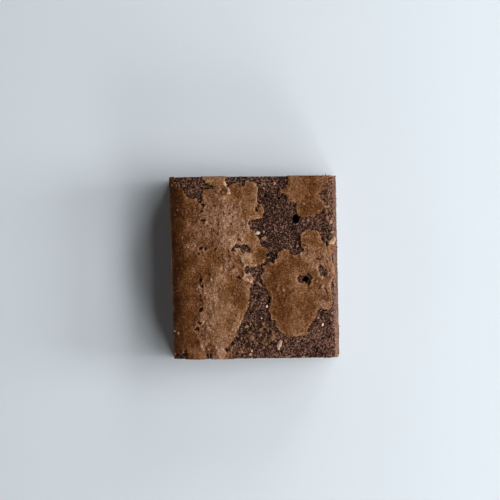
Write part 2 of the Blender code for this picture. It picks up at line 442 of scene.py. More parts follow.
@dataclass(frozen=True)
class CakeForm:
    """The cake's overall form: leaning cuts and a top that rolls down along the left one."""

    width: float = CAD_BOX[1].x - CAD_BOX[0].x
    depth: float = CAD_BOX[1].y - CAD_BOX[0].y
    crumb_height: float = CAD_BOX[1].z - 1.85 * MM
    corner_radius: float = 0.6 * MM
    front_lean: Range = (1.3 * MM, 0.65 * MM)
    right_lean: Range = (1.7 * MM, 1.4 * MM)
    back_lean: Range = (0.9 * MM, 0.15 * MM)
    left_lean: Range = (0.7 * MM, 1.2 * MM)
    fold_x: float = -20.0 * MM
    fold_reach: float = 12.0 * MM
    fold_drop: float = 0.55 * MM
    fold_bend: float = 1.5
    roll_x: float = -25.5 * MM
    roll_reach: float = 6.5 * MM
    roll_drop: float = 2.5 * MM
    roll_bend: float = 2.2
    swell: Spot = Spot(-13.0, 0.0, 8.0, 200.0, 0.55 * MM)
    ripple: Waves = Waves(3, 12.0 * MM, 1, 0.22 * MM)
    rim_radius: float = 0.6 * MM
    worn_radius: float = 4.5 * MM
    worn_reach: float = 5.85 * MM

    def round_corner(self, x: Array, y: Array) -> tuple[Array, Array]:
        """Pull plan places in at the corners, so that the upright edges are round.

        Args:
            x: Places across on the square block, in metres.
            y: Places back on the square block, in metres.

        Returns:
            The places on the round-cornered block.
        """
        over_x = np.maximum(np.abs(x) - (self.width / 2 - self.corner_radius), 0.0)
        over_y = np.maximum(np.abs(y) - (self.depth / 2 - self.corner_radius), 0.0)
        reach = np.maximum(np.hypot(over_x, over_y), 1e-9)
        in_corner = (over_x > 0.0) & (over_y > 0.0)
        pull = np.where(in_corner, 1.0 - np.maximum(over_x, over_y) / reach, 0.0)
        return x - np.sign(x) * over_x * pull, y - np.sign(y) * over_y * pull

    def lean_in(self, x: Array, y: Array, share: Array) -> tuple[Array, Array]:
        """Move places of the block in, as the cuts lean in with height.

        Args:
            x: Places across.
            y: Places back.
            share: Height of each place as a share of the whole.

        Returns:
            The moved places.
        """
        across = x / self.width + 0.5
        back = y / self.depth + 0.5
        left = between(self.left_lean, 1.0 - back) * (1.0 - across)
        right = between(self.right_lean, back) * across
        front = between(self.front_lean, across) * (1.0 - back)
        rear = between(self.back_lean, 1.0 - across) * back
        return x + share * (left - right), y + share * (front - rear)

    def to_cut(self, x: Array, y: Array) -> Array:
        """Distance of plan places on the top to the nearest cut, negative past it.

        Args:
            x: Places across.
            y: Places back.

        Returns:
            One distance for each place.
        """
        left = self.beside_cut(x, y, (-1, 1), (-1, -1))
        right = self.beside_cut(x, y, *RIGHT_CUT)
        front = self.beside_cut(x, y, (-1, -1), (1, -1))
        rear = self.beside_cut(x, y, (1, 1), (-1, 1))
        across = np.minimum(left, right)
        back = np.minimum(front, rear)
        radius = self.corner_radius
        corner = radius - np.hypot(radius - across, radius - back)
        in_corner = (across < radius) & (back < radius)
        return np.where(in_corner, corner, np.minimum(across, back))

    def beside_cut(self, x: Array, y: Array, start: Plan, end: Plan) -> Array:
        """Distance of places to the left of the line between two corners of the top.

        Args:
            x: Places across.
            y: Places back.
            start: The line's first corner, as the signs of its sides.
            end: Its other corner, in the same way.

        Returns:
            One distance for each place.
        """
        corners = np.array([start, end], float) * (self.width / 2, self.depth / 2)
        corner_x, corner_y = self.lean_in(corners[:, 0], corners[:, 1], np.ones(2))
        along = np.array([corner_x[1] - corner_x[0], corner_y[1] - corner_y[0]])
        along /= np.linalg.norm(along)
        return along[0] * (y - corner_y[0]) - along[1] * (x - corner_x[0])

    def pull_in(self, x: Array, y: Array, below: Array | float = 0.0) -> Array:
        """Move places in beside the right cut, whose worn upper edge is rounder than the others.

        Args:
            x: Places across.
            y: Places back.
            below: How far each place lies below the edge.

        Returns:
            The moved places across.
        """
        near = 1.0 - smooth_step(self.beside_cut(x, y, *RIGHT_CUT), 0.0, self.worn_reach)
        return x - near * self.rounding(below, self.worn_radius)

    @staticmethod
    def rounding(distance: Array | float, radius: float) -> Array:
        """How far a surface stands back near a rounded edge, at a distance from the edge."""
        share = np.maximum(distance, 0.0) / (ROUND_REACH * radius)
        return ROUND_DEPTH * radius * np.clip(1.0 - share, 0.0, 1.0) ** 2

    def top(self, x: Array, y: Array) -> Array:
        """Height of the crumb's smooth top at each plan place.

        Args:
            x: Places across.
            y: Places back.

        Returns:
            One height for each place.
        """
        fold = np.maximum(0.0, (self.fold_x - x) / self.fold_reach)
        roll = np.maximum(0.0, (self.roll_x - x) / self.roll_reach)
        height = self.crumb_height - self.fold_drop * fold ** self.fold_bend
        height -= self.roll_drop * roll ** self.roll_bend
        height = height + self.swell.at(x, y) + self.ripple.over(x, y)
        worn = self.rounding(self.beside_cut(x, y, *RIGHT_CUT), self.worn_radius)
        return height - np.maximum(self.rounding(self.to_cut(x, y), self.rim_radius), worn)


# Where the crust lies

SEAM = (
    (-36.0, 8.6), (-27.0, 9.0), (-23.4, 7.4), (-20.0, 6.4), (-16.4, 7.0), (-13.6, 5.6), (-11.4, 3.0),
    (-9.6, 0.4), (-8.6, -2.4), (-7.2, -4.6), (-5.4, -6.8), (-3.6, -7.8), (-2.2, -7.2),
)
LOWER_SHEET = Outline((
    (-36, -38), (-9.4, -38), (-9.2, -33.2), (-11.2, -30.4), (-9.2, -27.4), (-7.6, -24.3), (-5.7, -20.8),
    (-3.9, -16.2), (-2.7, -13.8), (-2.5, -9.5), (-2.2, -6.8), (-3.4, -5.6),
    *((x + 0.5, y + 0.5) for x, y in SEAM[-2::-1]),
))
UPPER_SHEET = Outline((
    *SEAM, (-1.8, -6.2), (-0.4, -4.4), (-1.4, -2.4), (-4.2, -1.3),
    (-3.4, 0.6), (-1.6, 0.7), (1.6, 1.3), (3.8, 2.4), (4.3, 4.6), (4.9, 6.4), (4.2, 7.8), (2.4, 8.0),
    (2.0, 10.2), (0.4, 12.8), (-1.0, 14.2), (-2.0, 15.6), (-2.2, 17.8), (0.8, 18.4), (3.0, 19.6),
    (3.6, 22.2), (3.0, 24.1), (1.3, 24.6), (1.1, 29.0), (0.6, 32.5), (-2.6, 32.9), (-4.6, 31.3),
    (-7.4, 32.4), (-9.3, 31.4), (-10.2, 30.8), (-10.9, 33.4), (-11.4, 38), (-19.4, 38), (-18.6, 33.2),
    (-16.0, 31.8), (-15.6, 30.5), (-18.6, 30.4), (-19.6, 28.8), (-20.2, 25.2), (-21.9, 26.6),
    (-25.4, 27.5), (-26.6, 29.4), (-27.4, 31.4), (-30.2, 32.4), (-30.8, 38), (-36, 38),
))
RIGHT_SHEET = Outline((
    (2.5, -6.0), (3.0, 0.2), (5.2, 1.5), (7.3, 2.0), (8.7, 5.0), (10.2, 7.1), (12.8, 6.6), (14.6, 4.6),
    (18.4, 6.0), (17.3, 10.2), (18.6, 13.2), (21.0, 14.4), (24.6, 13.3), (25.6, 10.0), (27.2, 7.4),
    (28.4, 7.2), (30.0, 10.0), (36, 11.6), (36, 6.2), (31.0, 5.4), (30.4, 2.2), (31.4, 0.4), (31.6, -3.0),
    (30.0, -6.6), (29.8, -10.6), (30.2, -14.6), (28.4, -16.6), (24.6, -16.0), (23.2, -17.0),
    (22.6, -19.0), (20.4, -22.2), (18.6, -25.2), (14.8, -26.6), (10.2, -25.9), (8.2, -23.6),
    (6.9, -20.4), (4.8, -17.0), (5.2, -12.6), (4.6, -9.0),
))
BACK_SHEET = Outline((
    (13.8, 38), (13.3, 32.4), (11.8, 31.0), (10.2, 29.2), (10.7, 28.2), (12.3, 27.3), (12.8, 25.6),
    (13.9, 24.3), (15.8, 24.5), (15.7, 22.2), (17.0, 19.8), (19.4, 18.6), (23.0, 19.5), (25.4, 21.2),
    (26.6, 22.8), (26.9, 24.7), (25.7, 25.8), (26.6, 26.8), (28.6, 26.9), (29.6, 28.6), (28.8, 30.4),
    (30.2, 31.6), (29.0, 33.2), (30.4, 34.4), (30.0, 38),
))
BARE_SPOTS = (
    Outline(((-6.4, 8.9), (-4.0, 9.2), (-2.8, 8.4), (-1.6, 7.2), (-2.2, 6.2), (-3.6, 6.8), (-4.8, 5.3),
             (-5.9, 6.3), (-6.0, 7.6))),
    Outline(((-8.9, 6.2), (-8.8, 7.8), (-7.6, 8.8), (-6.3, 9.0), (-6.6, 8.1), (-7.8, 7.6), (-8.1, 6.2))),
    Outline(((15.9, -4.0), (16.7, -2.9), (18.4, -3.1), (19.6, -2.4), (21.1, -2.8), (21.9, -4.2),
             (21.3, -5.6), (19.9, -7.1), (18.3, -5.9), (16.9, -5.6))),
    Outline(((-31.8, -32.2), (-29.2, -32.6), (-27.4, -31.2), (-26.4, -31.6), (-27.6, -38), (-32.0, -38))),
    Outline(((1.4, 24.5), (0.6, 23.0), (0.8, 21.2), (1.5, 20.8), (1.4, 22.0), (1.8, 23.6))),
    Outline(((24.0, 0.3), (25.2, 0.6), (26.1, -0.8), (27.1, -2.6), (26.6, -3.9), (25.3, -3.1), (24.5, -1.5))),
    Outline(((-12.2, -30.5), (-11.1, -30.6), (-11.0, -32.1), (-12.0, -32.0))),
    Outline(((26.1, -7.6), (26.9, -8.1), (27.9, -10.4), (27.0, -10.1), (26.4, -9.1))),
    Outline(((25.0, 28.4), (26.4, 29.3), (28.3, 29.6), (28.9, 28.3), (27.3, 27.3), (25.2, 27.2))),
    Outline(((27.3, 31.3), (28.5, 31.9), (29.4, 30.9), (28.2, 30.3))),
    Outline(((-19.6, -32.6), (-18.4, -32.3), (-17.0, -33.4), (-16.8, -38), (-19.2, -38))),
)


@dataclass(frozen=True)
class CrustMap:
    """Tells open crumb from crust, with the ragged line along which the crust broke."""

    bare: tuple[Outline, ...] = BARE_SPOTS
    wide_rag: Waves = Waves(41, 2.2 * MM, 2, 0.75 * MM)
    fine_rag: Waves = Waves(47, 0.75 * MM, 2, 0.36 * MM)
    back_level: float = 9.0 * MM

    def cover(self, outlines: tuple[Outline, ...], x: Array, y: Array) -> Array:
        """Measure how far plan places lie under the crust.

        Args:
            outlines: The sheets to take into account.
            x: Places across.
            y: Places back.

        Returns:
            The distance to the broken edge, positive under a sheet and negative on open crumb.
        """
        moved = self.ragged(x, y)
        cover = np.max([outline.inside(*moved) for outline in outlines], axis=0)
        for outline in self.bare:
            cover = np.minimum(cover, -outline.inside(*moved))
        return cover

    def ragged(self, x: Array, y: Array) -> tuple[Array, Array]:
        """Shift plan places at random, which makes a smooth line through them ragged.

        Args:
            x: Places across.
            y: Places back.

        Returns:
            The shifted places across and back.
        """
        across, back = plan_points(x, y), plan_points(x, y, self.back_level)
        moved_x = x + self.wide_rag.at(across) + self.fine_rag.at(across)
        moved_y = y + self.wide_rag.at(back) + self.fine_rag.at(back)
        return moved_x, moved_y


LAYER_START = -0.3 * MM
LAYER_STEP = (-0.2 * MM, 0.3 * MM)
LAYER_LINE = (0.2 * MM, 0.4 * MM)


@dataclass(frozen=True)
class Layer:
    """A patch of crust, in millimetres, with its own tone, blistering, level and a paler edge, which is a
    painted highlight.
    """

    tone: float
    rough: float
    rise: float
    edge: float
    softness: float
    outline: Outline

    def cover(self, x: Array, y: Array) -> Array:
        """How far plan places lie inside the patch, in metres and no less than -1 mm.

        Args:
            x: Places across.
            y: Places back.

        Returns:
            One distance for each place.
        """
        corners = np.array(self.outline.points) * MM
        low = corners.min(axis=0) - MM
        high = corners.max(axis=0) + MM
        near = (x > low[0]) & (x < high[0]) & (y > low[1]) & (y < high[1])
        cover = np.full(x.shape, -MM)
        cover[near] = np.maximum(self.outline.inside(x[near], y[near]), -MM)
        return cover

    def share(self, cover: Array) -> Array:
        """How much of the patch's look places have, rising softly from 0 at its edge to 1."""
        return smooth_step(cover, LAYER_START, self.softness * MM)

    def step(self, cover: Array) -> Array:
        """The patch's height at places, which rises steeply at its edge, in metres."""
        return self.rise * MM * smooth_step(cover, *LAYER_STEP)

    def edge_highlight(self, cover: Array) -> Array:
        """The painted highlight that the patch's edge adds at places, as a tone."""
        return self.edge * np.exp(-((cover - LAYER_LINE[0]) / LAYER_LINE[1]) ** 2)


@dataclass(frozen=True)
class Fold:
    """A raised fold of crust along a line through points, in millimetres; its tone pales the crest, partly a
    paler crust and partly a painted highlight.
    """

    tone: float
    height: float
    width: float
    points: tuple[Plan, ...]

    def at(self, x: Array, y: Array) -> Array:
        """How near plan places lie to the fold, from 0 far off to 1 on its crest.

        Args:
            x: Places across.
            y: Places back.

        Returns:
            One number for each place.
        """
        line = np.array(self.points, float) * MM
        nearest = np.min([beside_line(x, y, *ends) for ends in zip(line, line[1:])], axis=0)
        return np.exp(-nearest / (self.width * MM) ** 2)


LAYERS = (
    Layer(0.08, 0.70, 0.25, 0.04, 1.60, Outline((
        (-26.8, 21.4), (-25.8, 24.0), (-22.6, 25.2), (-20.8, 25.2), (-19.2, 28.4), (-16.6, 27.2),
        (-13.6, 27.2), (-11.4, 28.0), (-9.9, 26.6), (-7.4, 25.6), (-5.4, 24.2), (-4.4, 22.4),
        (-5.0, 20.2), (-3.6, 18.8), (-1.4, 17.4), (-1.0, 14.2), (-3.2, 12.8), (-4.6, 11.2), (-6.8, 9.8),
        (-9.2, 8.4), (-11.6, 7.4), (-13.6, 8.2), (-15.0, 6.2), (-19.0, 5.8), (-22.6, 6.4), (-25.2, 7.2),
        (-26.0, 10.4), (-27.0, 13.8), (-27.2, 18.0),
    ))),
    Layer(0.05, -0.80, 0.15, 0.07, 0.40, Outline((
        (-9.6, 30.2), (-6.4, 30.2), (-4.6, 31.8), (-2.0, 33.2), (1.2, 32.8), (1.6, 27.0), (1.2, 22.0),
        (-0.4, 19.4), (-3.2, 19.3), (-4.9, 20.4), (-4.2, 22.5), (-5.3, 24.4), (-7.4, 25.8), (-9.8, 26.9),
        (-10.8, 28.4),
    ))),
    Layer(0.07, -0.30, 0.00, 0.00, 1.00, Outline((
        (0.6, 33.0), (1.8, 30.0), (1.6, 24.4), (0.2, 21.0), (-0.8, 21.6), (0.0, 25.0), (-1.0, 28.6),
        (-2.2, 32.4),
    ))),
    Layer(0.09, -0.90, 0.15, 0.05, 0.40, Outline((
        (1.7, 24.3), (3.1, 24.1), (3.6, 22.0), (2.9, 19.7), (0.6, 18.5), (-1.4, 18.9), (0.2, 20.1),
        (1.7, 21.2), (1.9, 23.0),
    ))),
    Layer(0.09, -0.20, 0.10, 0.03, 0.80, Outline((
        (-9.8, 12.2), (-8.0, 12.6), (-7.0, 10.8), (-8.0, 9.5), (-9.9, 10.1),
    ))),
    Layer(0.17, 0.20, 0.20, 0.06, 0.80, Outline((
        (-5.0, 5.0), (-2.8, 5.9), (-1.2, 4.8), (-0.9, 2.4), (0.4, 1.0), (-2.0, 0.6), (-4.4, 0.9),
        (-5.4, 2.8),
    ))),
    Layer(0.03, -0.60, 0.00, 0.03, 0.80, Outline((
        (-0.8, 8.6), (1.2, 8.2), (2.6, 8.0), (4.6, 7.6), (4.0, 6.2), (2.6, 5.4), (2.6, 2.8), (0.8, 1.8),
        (-0.5, 3.0), (-0.7, 5.8),
    ))),
    Layer(0.10, 0.20, 0.15, 0.04, 0.80, Outline((
        (-0.6, 9.2), (-0.4, 12.6), (0.8, 12.6), (2.4, 10.0), (2.2, 8.6),
    ))),
    Layer(0.08, 0.35, 0.10, 0.02, 2.00, Outline((
        (-20.2, -2.6), (-17.6, -1.0), (-14.0, 1.6), (-11.0, 2.2), (-9.7, -1.0), (-9.8, -5.4),
        (-10.4, -9.6), (-8.6, -13.6), (-3.6, -14.8), (-4.8, -19.0), (-8.6, -25.4), (-10.4, -29.0),
        (-10.2, -38), (-14.0, -38), (-20.4, -38), (-20.9, -31.0), (-23.0, -27.0), (-24.3, -22.4),
        (-22.0, -18.6), (-20.5, -15.0), (-20.3, -8.0),
    ))),
    Layer(-0.12, 0.60, -0.10, 0.03, 0.80, Outline((
        (-17.2, -27.8), (-19.0, -29.0), (-20.3, -30.6), (-19.8, -32.6), (-16.0, -32.6), (-15.3, -30.0),
    ))),
    Layer(0.17, 0.50, 0.35, 0.04, 0.80, Outline((
        (-4.9, -2.8), (-3.4, -1.7), (-1.4, -2.2), (-0.4, -4.2), (-1.6, -6.2), (-3.2, -5.8), (-4.7, -4.6),
    ))),
    Layer(-0.14, 0.00, -0.10, 0.00, 0.40, Outline(((-3.6, -2.2), (-1.6, -2.5), (-1.3, -3.8), (-3.2, -3.4)))),
    Layer(0.07, -0.60, 0.10, 0.03, 0.80, Outline((
        (-19.0, 38), (-18.9, 33.0), (-16.4, 31.8), (-14.6, 32.0), (-11.2, 33.0), (-11.0, 38),
    ))),
    Layer(0.11, 0.55, 0.15, 0.04, 1.50, Outline((
        (18.4, 9.8), (22.6, 8.8), (25.2, 7.2), (27.8, 6.8), (33, 6.4), (33, -3), (30.2, -8), (29.6, -15),
        (26.0, -16.8), (22.8, -14.4), (22.4, -9.0), (22.6, -3.4), (20.2, 1.2), (17.2, 2.6), (17.2, 6.2),
    ))),
    Layer(-0.04, -0.40, 0.00, 0.00, 1.50, Outline((
        (5.6, 5.0), (7.4, 3.0), (9.2, 0.6), (8.6, -4.0), (9.0, -9.0), (7.6, -14.0), (8.8, -18.0),
        (6.8, -17.8), (5.4, -14.0), (5.6, -8.0), (4.6, -4.0), (4.8, 1.2),
    ))),
    Layer(0.05, -0.30, 0.10, 0.03, 0.80, Outline((
        (12.4, 27.4), (12.8, 25.2), (14.4, 24.0), (15.6, 24.8), (15.4, 28.4), (13.4, 30.6), (12.2, 29.6),
    ))),
    Layer(0.07, 0.70, 0.00, 0.00, 1.20, Outline((
        (25.0, 38), (25.4, 31.4), (24.6, 27.6), (25.2, 21.4), (27.4, 22.2), (36, 26), (36, 38),
    ))),
)
FOLDS = (
    Fold(0.10, 0.17, 0.69, ((-13.5, -25.6), (-14.0, -29.0), (-14.1, -36.0))),
    Fold(0.09, 0.14, 0.50, ((-16.9, -27.4), (-15.5, -30.2))),
    Fold(0.14, 0.21, 0.38, ((-19.0, -20.7), (-17.8, -23.3))),
    Fold(0.07, 0.10, 0.75, ((-18.8, -19.6), (-16.8, -19.9))),
    Fold(0.12, 0.21, 0.44, ((-21.5, -16.6), (-21.1, -18.8), (-20.7, -20.4))),
    Fold(0.10, 0.17, 0.50, ((-24.3, -23.2), (-22.6, -24.6), (-21.6, -27.8), (-20.4, -31.0))),
    Fold(0.07, 0.14, 0.50, ((-19.6, -2.6), (-19.7, -9.0))),
    Fold(0.09, 0.14, 0.50, ((-22.2, -6.2), (-21.3, -7.4), (-21.4, -9.0))),
    Fold(0.09, 0.10, 0.75, ((-28.4, -15.2), (-27.0, -14.2), (-25.6, -12.8))),
    Fold(0.07, 0.03, 1.50, ((-5.8, -19.6), (-7.6, -23.2), (-9.6, -26.4))),
    Fold(0.09, 0.17, 0.56, ((-11.7, 4.8), (-10.8, 1.8), (-11.6, -0.6))),
    Fold(0.14, 0.24, 0.56, ((-9.1, 4.6), (-9.5, 2.0))),
    Fold(0.13, 0.24, 0.50, ((-8.9, -0.9), (-8.6, -3.6), (-7.4, -4.4))),
    Fold(0.12, 0.21, 0.44, ((-7.3, -0.8), (-6.3, -2.2))),
    Fold(0.14, 0.21, 0.50, ((-9.5, 6.0), (-9.6, 8.2), (-8.0, 9.4))),
    Fold(0.16, 0.24, 0.56, ((-7.4, 7.6), (-6.9, 6.4), (-7.6, 5.2))),
    Fold(0.14, 0.17, 0.50, ((-5.1, -0.4), (-5.6, 0.8))),
    Fold(0.13, 0.17, 0.50, ((-3.6, 1.6), (-4.6, 0.6))),
    Fold(0.12, 0.21, 0.44, ((-5.4, 12.9), (-3.8, 12.2))),
    Fold(0.11, 0.17, 0.56, ((-19.2, 27.2), (-18.6, 25.6))),
    Fold(0.10, 0.14, 0.75, ((-18.0, 17.4), (-16.0, 15.9))),
    Fold(0.09, 0.14, 0.50, ((-15.2, 19.8), (-15.2, 17.4))),
    Fold(0.10, 0.17, 0.50, ((-14.6, 27.8), (-13.4, 26.4))),
    Fold(0.24, 0.35, 0.50, ((-10.9, 33.0), (-10.4, 31.2), (-9.6, 29.6))),
    Fold(0.16, 0.25, 0.45, ((-13.4, 31.6), (-12.6, 30.6), (-13.6, 29.4))),
    Fold(0.18, 0.30, 0.42, ((-4.9, -3.4), (-3.6, -1.9), (-1.6, -2.2))),
    Fold(0.14, 0.16, 0.35, ((8.4, -23.2), (10.8, -25.2), (14.4, -25.9), (17.8, -24.7))),
    Fold(0.12, 0.14, 0.35, ((5.9, -12.4), (5.5, -9.4), (3.6, -6.2))),
    Fold(0.16, 0.16, 0.60, ((-4.8, 3.2), (-4.0, 0.4), (-4.4, -2.2), (-3.4, -5.0))),
    Fold(0.11, 0.12, 0.45, ((-5.6, 25.6), (-4.8, 22.2), (-5.2, 19.0), (-3.6, 16.4))),
    Fold(0.16, 0.25, 0.42, ((-3.9, -5.0), (-2.3, -5.6), (-1.4, -4.2))),
    Fold(0.10, 0.10, 0.80, ((-15.4, -5.0), (-15.6, -14.0))),
    Fold(0.08, 0.10, 0.80, ((-12.2, 0.6), (-12.4, -5.0))),
    Fold(0.12, 0.17, 0.62, ((-10.8, 27.4), (-11.9, 25.4))),
    Fold(0.06, 0.07, 1.00, ((-11.4, 25.0), (-12.6, 18.0), (-12.0, 13.0))),
    Fold(0.07, 0.10, 0.44, ((15.4, -16.2), (17.0, -19.2), (17.9, -21.0))),
    Fold(0.12, 0.17, 0.44, ((7.5, -10.0), (8.4, -8.2), (8.2, -7.5))),
    Fold(0.10, 0.14, 0.44, ((3.0, 2.4), (3.2, 1.0), (2.9, -0.6))),
    Fold(0.10, 0.10, 0.75, ((3.5, -2.4), (4.4, -2.9), (3.9, -4.0))),
    Fold(0.09, 0.14, 0.44, ((12.2, -7.3), (13.2, -8.1))),
    Fold(0.07, 0.14, 0.44, ((27.8, 3.4), (28.8, 1.4), (29.6, -0.4))),
    Fold(0.09, 0.14, 0.50, ((23.0, -0.6), (23.9, -2.8), (25.2, -4.4))),
)


TOP_BUBBLES = (
    Dent(19.0, -4.7, 1.2, 1.2, 3.8),
    Dent(15.7, 18.5, 1.4, 1.75, 4.5),
)


class Side(Enum):
    """The four cuts, each by the axis that it faces along and the sign of its side."""

    FRONT = (1, -1.0)
    RIGHT = (0, 1.0)
    BACK = (1, 1.0)
    LEFT = (0, -1.0)


@dataclass(frozen=True)
class CutBubble:
    """An open air bubble in one of the cuts."""

    side: Side
    along: float
    height: float
    size: tuple[float, float, float]


@dataclass(frozen=True)
class CutBubbles:
    """The larger air bubbles in the four cuts, drawn at random."""

    form: CakeForm
    each: int = 4
    width: Range = (1.3 * MM, 2.6 * MM)
    margin: float = 6.0 * MM
    spread: Range = (0.2, 0.8)
    heights: Range = (0.2, 0.8)
    unevenness: Range = (0.75, 1.25)
    roundness: float = 0.9
    seed: int = 11

    def all(self) -> Iterator[CutBubble]:
        """Draw the bubbles, side by side along each cut.

        Returns:
            One bubble after another.
        """
        rng = random.Random(self.seed)
        reach = self.form.width / 2 - self.margin
        for side in Side:
            for number in range(self.each):
                place = (number + rng.uniform(*self.spread)) / self.each
                height = self.form.crumb_height * rng.uniform(*self.heights)
                width = rng.uniform(*self.width)
                size = tuple(width * rng.uniform(*self.unevenness) for _ in range(3))
                rng.random()  # passed over, which keeps the bubbles after it where they are
                yield CutBubble(side, reach * (2.0 * place - 1.0), height, size)

    def depth(self, points: Array) -> Array:
        """How far the bubbles hollow out the cuts at each place, in metres.

        Args:
            points: Places.

        Returns:
            One depth for each place.
        """
        depth = np.zeros(len(points))
        for bubble in self.all():
            across, sign = bubble.side.value
            along = 1 - across
            near_cut = points[:, across] * sign > 0.4 * self.form.width
            reach = ((points[:, along] - bubble.along) / (0.5 * bubble.size[along])) ** 2
            reach = reach + ((points[:, 2] - bubble.height) / (0.5 * bubble.size[2])) ** 2
            hollow = 0.5 * self.roundness * bubble.size[across] * np.sqrt(np.clip(1.0 - reach, 0.0, 1.0))
            depth = np.where(near_cut, np.maximum(depth, hollow), depth)
        return depth


# Relief


@dataclass(frozen=True)
class CrumbRelief:
    """The granular, porous surface where the crust has broken away."""

    lumps: Waves = Waves(5, 4.2 * MM, 2, 0.30 * MM)
    grains: Grains = Grains(7, 1.15 * MM, 0.42 * MM)
    small_grains: Grains = Grains(9, 0.6 * MM, 0.22 * MM)
    pores: Pores = Pores(13, 1.5 * MM, 0.85 * MM, 0.42, 0.42)
    dents: tuple[Dent, ...] = TOP_BUBBLES + (
        Dent(9.5, 26.5, 0.6, 0.6, 1.3),
        Dent(4.3, 27.2, 0.5, 0.6, 1.2),
        Dent(22.9, -31.8, 0.5, 0.7, 1.2),
        Dent(-2.2, -16.8, 0.45, 0.5, 1.0),
        Dent(4.9, -19.6, 0.5, 0.6, 1.0),
    )

    def height(self, x: Array, y: Array) -> Array:
        """Height of the open crumb above its smooth top, at each plan place.

        Args:
            x: Places across.
            y: Places back.

        Returns:
            One height for each place.
        """
        places = plan_points(x, y)
        height = self.lumps.at(places) + self.grains.at(places) + self.small_grains.at(places)
        height -= self.pores.at(places)
        for dent in self.dents:
            height -= dent.at(x, y)
        return height


@dataclass(frozen=True)
class CutRelief:
    """The knife's cut: pressed nearly flat, with pores of many sizes, small tears and fine crumb."""

    bubbles: CutBubbles
    swells: Waves = Waves(19, 17.0 * MM, 1, 0.27 * MM)
    swell_depth: float = 0.27 * MM
    top_fade: Range = (0.6, 1.0)
    base_fade: Range = (0.0, 0.25)
    waves: Waves = Waves(21, 6.0 * MM, 2, 0.09 * MM)
    wave_depth: float = 0.108 * MM
    grains: Cells = Cells(23, 0.95 * MM)
    grain_depth: float = 0.26 * MM
    fine: Waves = Waves(25, 0.8 * MM, 1, 0.10 * MM)
    tears: Waves = Waves(31, 3.4 * MM, 2)
    tear_shape: tuple[float, float, float] = (1.0, 1.0, 1.9)
    tear_width: float = 0.09
    tear_patches: Waves = Waves(33, 7.0 * MM)
    torn: Range = (0.05, 0.5)
    tear_depth: float = 0.55 * MM
    pores: Pores = Pores(27, 2.1 * MM, 1.0 * MM, 0.26, 0.40)
    small_pores: Pores = Pores(29, 1.15 * MM, 0.60 * MM, 0.42, 0.38)

    def depth(self, points: Array, share: Array) -> Array:
        """Work out how far the cut's surface lies behind its flat form.

        Args:
            points: Places on the flat cuts, in metres.
            share: Each place's height as a share of the whole.

        Returns:
            The depth at each place.
        """
        waist = (1.0 - smooth_step(share, *self.top_fade)) * smooth_step(share, *self.base_fade)
        depth = waist * (self.swell_depth + self.swells.at(points))
        depth += self.wave_depth + self.waves.at(points) + self.fine.at(points)
        depth += self.grain_depth * (1.0 - self.grains.bumps(points)) ** 2
        torn = 1.0 - smooth_step(np.abs(self.tears.at(points * self.tear_shape)), 0.0, self.tear_width)
        depth += self.tear_depth * torn * smooth_step(self.tear_patches.at(points), *self.torn)
        depth += self.pores.at(points) + self.small_pores.at(points)
        return np.maximum(depth, self.bubbles.depth(points))


